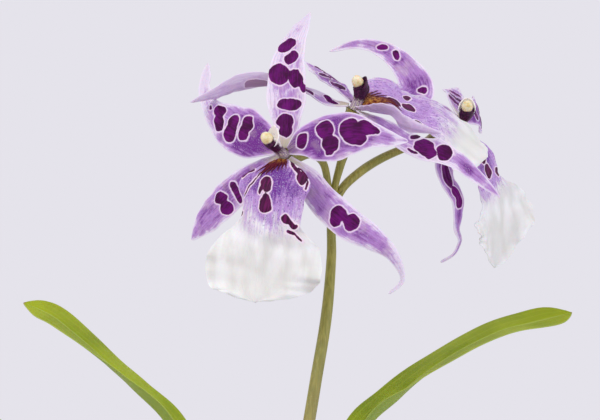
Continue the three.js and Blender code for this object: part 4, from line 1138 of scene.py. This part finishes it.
def keels(name, sheet, longer, ripe, paint):
    """Finger-like keels of the callus, laid on the lip."""
    flat, out = sheet.points.reshape(-1, 3), sheet.normal.reshape(-1, 3)
    places = np.stack([sheet.u.ravel(), sheet.v.ravel()], -1)
    parts = []
    for start, end, thickest in KEELS:
        rows = []
        for share in np.linspace(0, 1, 9):
            aim = np.array(start) * (1 - share) + np.array(end) * (longer, 1) * share
            k = np.argmin(((places - aim) ** 2).sum(-1))
            swell = 0.55 + 0.45 * math.sin(math.pi * min(1, share + 0.25))
            radius = thickest * swell * (1 - share**6 * 0.8)
            rows.append([*(flat[k] + out[k] * (0.35 + 0.5 * thickest)), radius])
        points, faces, t, _ = tube(rows, *FINE["keel"])
        parts.append((points, faces, t * ripe))
    points, faces, run = join(parts)
    add(mesh_of(name, points, faces, {"run": run}), paint, "lip")


def column_line(flower):
    """A column's whole line from above the ovary's face."""
    look = unit(np.array(LOOKS[flower], float))
    foot = [(*(look * height), COLUMN["foot"]) for height in (COLUMN["low"], COLUMN["straight"])]
    rows = np.array(foot + COLUMNS[flower], float)
    rows[:, :3] += HUBS[flower]
    return rows


def column(flower, paint):
    """Column with low wings beside the stigma, and a hood round its anther cap."""

    def swell(t, turn):
        wings = 0.22 * rising(t, 0.45, 0.75) * np.abs(np.cos(turn)) ** 6
        return 1 + wings + 0.03 * np.sin(5 * turn + 9 * t)

    line, way = column_line(flower), unit(np.array(HOODS[flower]["way"], float))
    points, faces, t, turn = tube(line, *FINE["column"], flatness=COLUMN["flatness"], swell=swell)
    out = points - curve(line[:, :3], t)
    out = out / np.maximum(np.linalg.norm(out, axis=-1, keepdims=True), 1e-6)
    values = {"run": t, "turn": turn, "top": HOODS[flower]["white"] * (out @ way) * rising(t, 0.3, 0.6)}
    add(mesh_of("fine_" + flower + "_column", points, faces, values), paint, "column", flower + "_column")
    hood(flower, paint)


def hood(flower, paint):
    """Thin collar that stands round the back of the anther cap."""
    shape, line = HOODS[flower], column_line(flower)
    along = heading(line, 1)[0]
    side = squared(np.array(shape["way"], float), along)
    other = np.cross(along, side)
    rows, cols = HOOD["grid"]
    turn = np.linspace(-HOOD["round"], HOOD["round"], cols + 1)
    h = np.linspace(0, 1, rows + 1)[:, None]
    radius = HOOD["foot"] + (HOOD["mouth"] - HOOD["foot"]) * np.sqrt(h) + 0 * turn
    rise = HOOD["low"] + (shape["high"] - HOOD["low"]) * h * (0.35 + 0.65 * np.cos(turn * 0.8) ** 2)
    ring = side * np.cos(turn)[:, None] + other * np.sin(turn)[:, None]
    middle = line[-1, :3] + side * shape["aside"] * h[..., None]
    points = middle + along * rise[..., None] + ring * radius[..., None]
    sheet = SimpleNamespace(points=points, normal=normals(points))
    edge = np.minimum(1 - np.abs(turn) / HOOD["round"], 0.3) / 0.3
    thick = HOOD["wall"] * (0.3 + 0.7 * edge) + 0 * h
    grids = {"run": 0.8, "turn": 0.3, "top": shape["white"]}
    add_sheet(flower + "_column_hood", sheet, thick, paint, "column", **grids)


def anther_cap(flower, paint):
    """Rounded cap of two lobes on the column's end."""
    line = column_line(flower)
    way = heading(line, 1)[0]
    foot = line[-1, :3] + way * GAP
    rows = []
    for h in np.linspace(0, 1, 7):
        rise = CAP["low"] + h * (CAP["high"] - CAP["low"])
        rows.append([*(foot + way * h * CAP["length"]), CAP["radius"] * math.sqrt(1 - rise**2)])

    def swell(t, turn):
        return 1 - 0.16 * np.exp(-((np.cos(turn) / 0.3) ** 2)) * math.sin(math.pi * min(1, 0.3 + 0.7 * t))

    points, faces, t, _ = tube(rows, *FINE["cap"], swell=swell)
    name = flower + "_anther_cap"
    add(mesh_of("fine_" + name, points, faces, {"run": t}), paint, "anther_cap", name)


def leaf(node, shape, paint):
    """Strap leaf with a groove along its midrib and slightly waved edges."""

    def lift(t, s, half):
        groove = -0.35 * np.exp(-((s * half / 0.9) ** 2)) * np.minimum(1, half / 4)
        wave = 0.04 * half * np.abs(s) ** 3 * np.sin(2 * math.pi * 2.3 * t + seed_of(node) + s)
        return groove + wave

    cup, fold = shape.get("cup", (0,)), shape.get("fold", (0,))
    sheet = blade(shape["rows"], shape["faces"], LEAF["grid"], cup=cup, fold=fold, lift=lift, tip=0.025)
    wrinkle(sheet, 0.15, 12, seed_of(node))
    grids = {"run": sheet.t, "across": sheet.s, "edge": sheet.edge}
    thick = thinned(sheet, LEAF["thick"], 0.3, 0.4)
    add_sheet("fine_" + node, sheet, thick, paint, "leaf", node, **grids)


def bulb(node, shape, paint):
    """Flattened bulb with rounded flutes, wrinkled with age."""
    h, turn = np.linspace(0, 1, BULB["rings"])[:, None], circle(BULB["sides"])
    depth = shape["flutes"] * np.sin(math.pi * np.minimum(1, h * 1.1 + 0.05))
    flute = depth * (0.5 - 0.5 * np.cos(BULB["flutes"] * turn))
    girth = curve(BULB["girth"], h[:, 0])[:, None] * (1 - flute)
    (x, y), foot, top = shape["at"], BULB["foot"], BULB["foot"] + shape["height"]
    way = np.stack([np.cos(turn), np.sin(turn), 0 * turn], -1)
    points = girth[..., None] * way * (shape["half"], shape["depth"], 0)
    points += np.stack([x + 0 * h, y + 0 * h, foot + h * shape["height"]], -1)
    rough = ripple(points * (1, 1, 0.25), 2.2, 3) * (0.1 + 0.25 * shape["age"]) * np.sin(math.pi * h)
    points, faces = closed_skin(points + way * rough[..., None], (x, y, foot), (x, y, top))
    values = {
        "run": (points[:, 2] - foot) / shape["height"],
        "turn": np.append(np.tile(turn, len(h)), [0, 0]),
        "age": np.full(len(points), shape["age"]),
    }
    add(mesh_of("fine_" + node, points, faces, values), paint, "bulb", node)


def ovary(flower):
    """Rows of a flower's ovary, which swells behind the flower and ends in the face that it sits on."""
    look = unit(np.array(LOOKS[flower], float))
    back, radius = OVARY["back"], OVARY["radius"]
    rows = [(back, radius), (back / 3, radius * OVARY["swell"]), (OVARY["front"], OVARY["face"])]
    return [(*(np.array(HUBS[flower]) - look * behind), radius) for behind, radius in rows]


def grooved(share):
    """Shallow grooves along the last share of a stalk, where the ovary is."""

    def swell(t, turn):
        return 1 + 0.07 * np.cos(OVARY["grooves"] * turn) * rising(t, 1 - share, 1 - share / 2)

    return swell


def spike(stem, dry):
    """Stem, side stalks and ovaries in one piece, with a browner foot and browner nodes, and the bracts."""
    points, faces, _, _ = tube([*STEM, *ovary("back")], *FINE["stem"], swell=grooved(0.12))
    parts = [(points, faces, 0.75 * rising(-points[:, 2], -385, -230))]
    for flower, line in STALKS.items():
        rows = [*line, *ovary(flower)]
        points, faces, t, _ = tube(rows, *FINE["stalk"], start=(0.3, 0, 1), swell=grooved(0.4))
        parts.append((points, faces, 0.1 * t))
    points, faces, flush = join(parts)
    nodes = np.array([shape["at"] for shape in BRACTS])
    away = np.linalg.norm(points[:, None] - nodes[None], axis=-1).min(1)
    flush = np.clip(flush + 0.5 * rising(-away, -4, -1.5), 0, 1)
    add(mesh_of("fine_flower_spike", points, faces, {"flush": flush}), stem, "stem", "flower_spike")
    for k, shape in enumerate(BRACTS):
        bract("stem_bract_" + str(k + 1), shape, dry)


def bract(name, shape, paint):
    """Small pointed bract that grows out of the stem and leans away from it."""
    foot, lean = np.array(shape["at"], float), np.array(shape["lean"], float)
    up = squared(np.array([0.1, 0, 1]), unit(lean)) * shape["long"]
    out = BRACT["out"] + BRACT["rise"] * shape["long"]
    spine = [
        (*(foot + lean * BRACT["root"]), BRACT["half"]),
        (*(foot + up * 0.5 + lean * BRACT["out"]), BRACT["half"] * 0.8),
        (*(foot + up + lean * out), BRACT["tip"]),
    ]
    sheet = blade(spine, [-lean], BRACT["grid"], cup=[0.6, 0.4, 0.2], tip=0.1)
    add_sheet(name, sheet, thinned(sheet, BRACT["thick"], 0.25, 0.5), paint, "stem")


def pot_inside(z):
    """Inner radius of the pot at a height: the rim band is thicker than the wall below it."""
    low = POT["foot"] - POT["wall"]
    high = POT["rim"] - 1.2 * POT["wall"]
    return low + (high - low) * (z - POT["floor"]) / (POT["height"] - POT["floor"])


def rounded(corner, before, after, size):
    """Points of a small arc in place of a corner of a profile."""
    start = corner + unit(before - corner) * size
    end = corner + unit(after - corner) * size
    shares = np.linspace(0, 1, 5)[:, None]
    return (1 - shares) ** 2 * start + 2 * shares * (1 - shares) * corner + shares**2 * end


def pot_profile():
    """Outline of the pot's wall from the middle of its underside to the middle of its floor."""
    band, height, floor = POT["height"] - POT["band"], POT["height"], POT["floor"]
    corners = [
        (0, 0), (POT["foot"], 0), (POT["shoulder"], band), (POT["rim"] - 2 * POT["edge"], band),
        (POT["rim"], height), (pot_inside(height), height), (pot_inside(floor), floor), (0, floor),
    ]
    corners = np.array(corners, float)
    profile = [corners[:1]]
    for k in range(1, len(corners) - 1):
        arc = rounded(corners[k], corners[k - 1], corners[k + 1], POT["edge"])
        last = profile[-1][-1]
        shares = np.linspace(0, 1, max(2, int(np.linalg.norm(arc[0] - last) / POT["step"])))[1:-1, None]
        profile += [last * (1 - shares) + arc[0] * shares, arc]
    return np.concatenate([*profile, corners[-1:]])


def pot(paint):
    """Turned pot with fine rings left by the turning."""
    profile, turn = pot_profile(), circle(POT["sides"])
    level = profile[1:-1, 1, None] + 0 * turn
    radius = profile[1:-1, 0, None] + 0.1 * np.sin(level * 1.9 + 0.6 * np.sin(turn))
    rings = np.stack([radius * np.cos(turn), radius * np.sin(turn), level], -1)
    points, faces = closed_skin(rings, (0, 0, profile[0, 1]), (0, 0, profile[-1, 1]))
    mesh = mesh_of("clay_pot", points, faces, {"height": points[:, 2] / POT["height"]}, angle=50)
    drill(add(mesh, paint, "terracotta", "pot"))


def drill(made):
    """Cuts the drain holes through the pot's floor."""
    cutters = []
    for turn in circle(DRAIN["count"]) + math.pi / DRAIN["count"]:
        x, y = DRAIN["circle"] * math.cos(turn), DRAIN["circle"] * math.sin(turn)
        rows = [(x, y, z, DRAIN["radius"]) for z in (-POT["floor"], 2 * POT["floor"])]
        cutters.append(tube(rows, DRAIN["sides"], 1)[:3])
    points, faces, _ = join(cutters)
    cutter = placed("drain_holes", mesh_of("drain_holes", points, faces))
    cut = made.modifiers.new("holes", "BOOLEAN")
    cut.operation = "DIFFERENCE"
    cut.object = cutter
    bpy.context.view_layer.update()
    graph = bpy.context.evaluated_depsgraph_get()
    made.data = bpy.data.meshes.new_from_object(made.evaluated_get(graph))
    made.modifiers.clear()
    bpy.data.objects.remove(cutter)


def bark_bed():
    """The uneven bed of bark below the loose chips, down to the pot's floor."""
    low, level = POT["floor"] + GAP, BARK["level"]
    inner, turn = (pot_inside(level) - GAP) * np.linspace(1, 0.04, 26), circle(90)
    radius = np.append(pot_inside(low) - GAP, inner)[:, None]
    rings = np.stack([radius * np.cos(turn), radius * np.sin(turn), level + 0 * radius * turn], -1)
    rings[1:, :, 2] += 0.9 * ripple(rings[1:, :, :2], 5, 4)
    rings[0, :, 2] = low
    return closed_skin(rings, (0, 0, low), (0, 0, level))


def chip(draw):
    """One chip of bark round the origin: an uneven slab with broken edges."""
    corners = CHIP["corners"]
    turn = 2 * math.pi * (np.arange(corners) + draw.uniform(-0.3, 0.3, corners)) / corners
    radius = 1 + draw.uniform(-CHIP["jitter"], CHIP["jitter"], corners)
    long, wide, thick = (draw.uniform(*CHIP[size]) / 2 for size in ("long", "wide", "thick"))
    rings = []
    for height, share in ((-1, 0.78), (-0.55, 1), (0.5, 0.97), (1, 0.8)):
        reach = share * radius * (1 + draw.uniform(-0.06, 0.06, corners))
        level = thick * (height + draw.uniform(-0.15, 0.15, corners))
        rings.append(np.stack([long * reach * np.cos(turn), wide * reach * np.sin(turn), level], -1))
    return closed_skin(rings, (0, 0, -thick), (0, 0, thick * 1.05))


def turned(points, *angles):
    """Points turned round the x, y and z axes in that order."""
    for angle, (a, b) in zip(angles, ((1, 2), (2, 0), (0, 1))):
        first, second = points[:, a].copy(), points[:, b].copy()
        points[:, a] = first * math.cos(angle) - second * math.sin(angle)
        points[:, b] = first * math.sin(angle) + second * math.cos(angle)
    return points


def bark_mix(paint):
    """Bed and loose chips, which lie lower round the bulbs' feet."""
    draw = np.random.default_rng(11)
    parts = [(*bark_bed(), 0.1)]
    for k in range(BARK["chips"]):
        points, faces = chip(draw)
        points = turned(points, *draw.uniform(-CHIP["tilt"], CHIP["tilt"], 2), draw.uniform(0, math.pi))
        radius = BARK["reach"] * math.sqrt((k + 0.5) / BARK["chips"])
        angle = k * math.pi * (3 - math.sqrt(5)) + draw.uniform(-0.1, 0.1)
        high = draw.uniform(BARK["low"], BARK["high"])
        place = np.array([radius * math.cos(angle), radius * math.sin(angle), high])
        if min(math.dist(place[:2], shape["at"]) for shape in BULBS.values()) < BARK["near"]:
            place[2] = min(high, BARK["near_high"])
        reach = np.hypot(points[:, 0] + place[0], points[:, 1] + place[1]).max()
        place[:2] *= min(1, (pot_inside(place[2]) - 0.5) / reach)
        parts.append((points + place, faces, draw.uniform(0.1, 1)))
    points, faces, shade = join(parts)
    add(mesh_of("bark_chips", points, faces, {"shade": shade}, angle=35), paint, "bark", "bark_mix")


def rootstock(paint):
    """Knotted rhizome, whose run is marked as -1, and uneven roots, whose run goes from 0 to 1."""

    def knotted(t, turn):
        return 1 + 0.08 * np.sin(60 * t) + 0.05 * np.sin(3 * turn + 20 * t)

    def uneven(t, turn):
        return 1 + 0.06 * np.sin(25 * t + 2 * turn) + 0.04 * np.sin(47 * t)

    points, faces, _, _ = tube(RHIZOME, *FINE["rhizome"], start=(0, 1, 0), swell=knotted)
    roots = [tube(rows, *FINE["root"], start=(0, 0, 1), swell=uneven)[:3] for rows in ROOTS]
    points, faces, run = join([(points, faces, -1), *roots])
    mesh = mesh_of("fine_rhizome_and_roots", points, faces, {"run": run})
    add(mesh, paint, "root", "rhizome_and_roots")


def place_camera():
    data = bpy.data.cameras.new("camera")
    data.lens, data.sensor_width = CAMERA["lens"], CAMERA["sensor"]
    data.clip_start, data.clip_end = CAMERA["clip"]
    camera = placed("camera", data)
    camera.location = Vector(CAMERA["place"]) * MM
    camera.rotation_euler = (math.pi / 2, 0, 0)
    bpy.context.scene.camera = camera


def area_light(name, light):
    data = bpy.data.lights.new(name, "AREA")
    data.shape = "DISK"
    data.size = light["size"] * MM
    data.energy = light["power"]
    data.color = linear(light["colour"])[:3]
    lamp = placed(name, data)
    lamp.location = Vector(light["place"]) * MM
    lamp.rotation_euler = (Vector(AIM) - Vector(light["place"])).to_track_quat("-Z", "Y").to_euler()


def sky():
    world = bpy.data.worlds.new("studio")
    world.use_nodes = True
    background = world.node_tree.nodes["Background"]
    background.inputs["Color"].default_value = linear(SKY["colour"])
    background.inputs["Strength"].default_value = SKY["strength"]
    bpy.context.scene.world = world
    bpy.context.scene.view_settings.view_transform = "Standard"


def floor():
    turn = circle(FLOOR["sides"])
    points = np.stack([FLOOR["radius"] * np.cos(turn), FLOOR["radius"] * np.sin(turn), 0 * turn], -1)
    mesh = mesh_of("floor", points, [list(range(FLOOR["sides"]))], angle=None)
    mesh.materials.append(floor_paint())
    placed("floor", mesh)


place_camera()
area_light("key", KEY_LIGHT)
area_light("fill", FILL_LIGHT)
sky()
floor()

pot(pot_paint())
bark_mix(bark_paint())
rootstock(root_paint())
for build, shapes, paint in ((bulb, BULBS, bulb_paint()), (leaf, LEAVES, leaf_paint())):
    for node, shape in shapes.items():
        build(node, shape, paint)
spike(stem_paint(), bract_paint())
lavender = tepal_paint()
for node, shape in TEPALS.items():
    tepal(node, shape, lavender)
white, maroon = lip_paint(), callus_paint()
for node, shape in LIPS.items():
    lip(node, shape, white, maroon)
dark, cream = column_paint(), cap_paint()
for flower in HUBS:
    column(flower, dark)
    anther_cap(flower, cream)

bpy.context.view_layer.update()
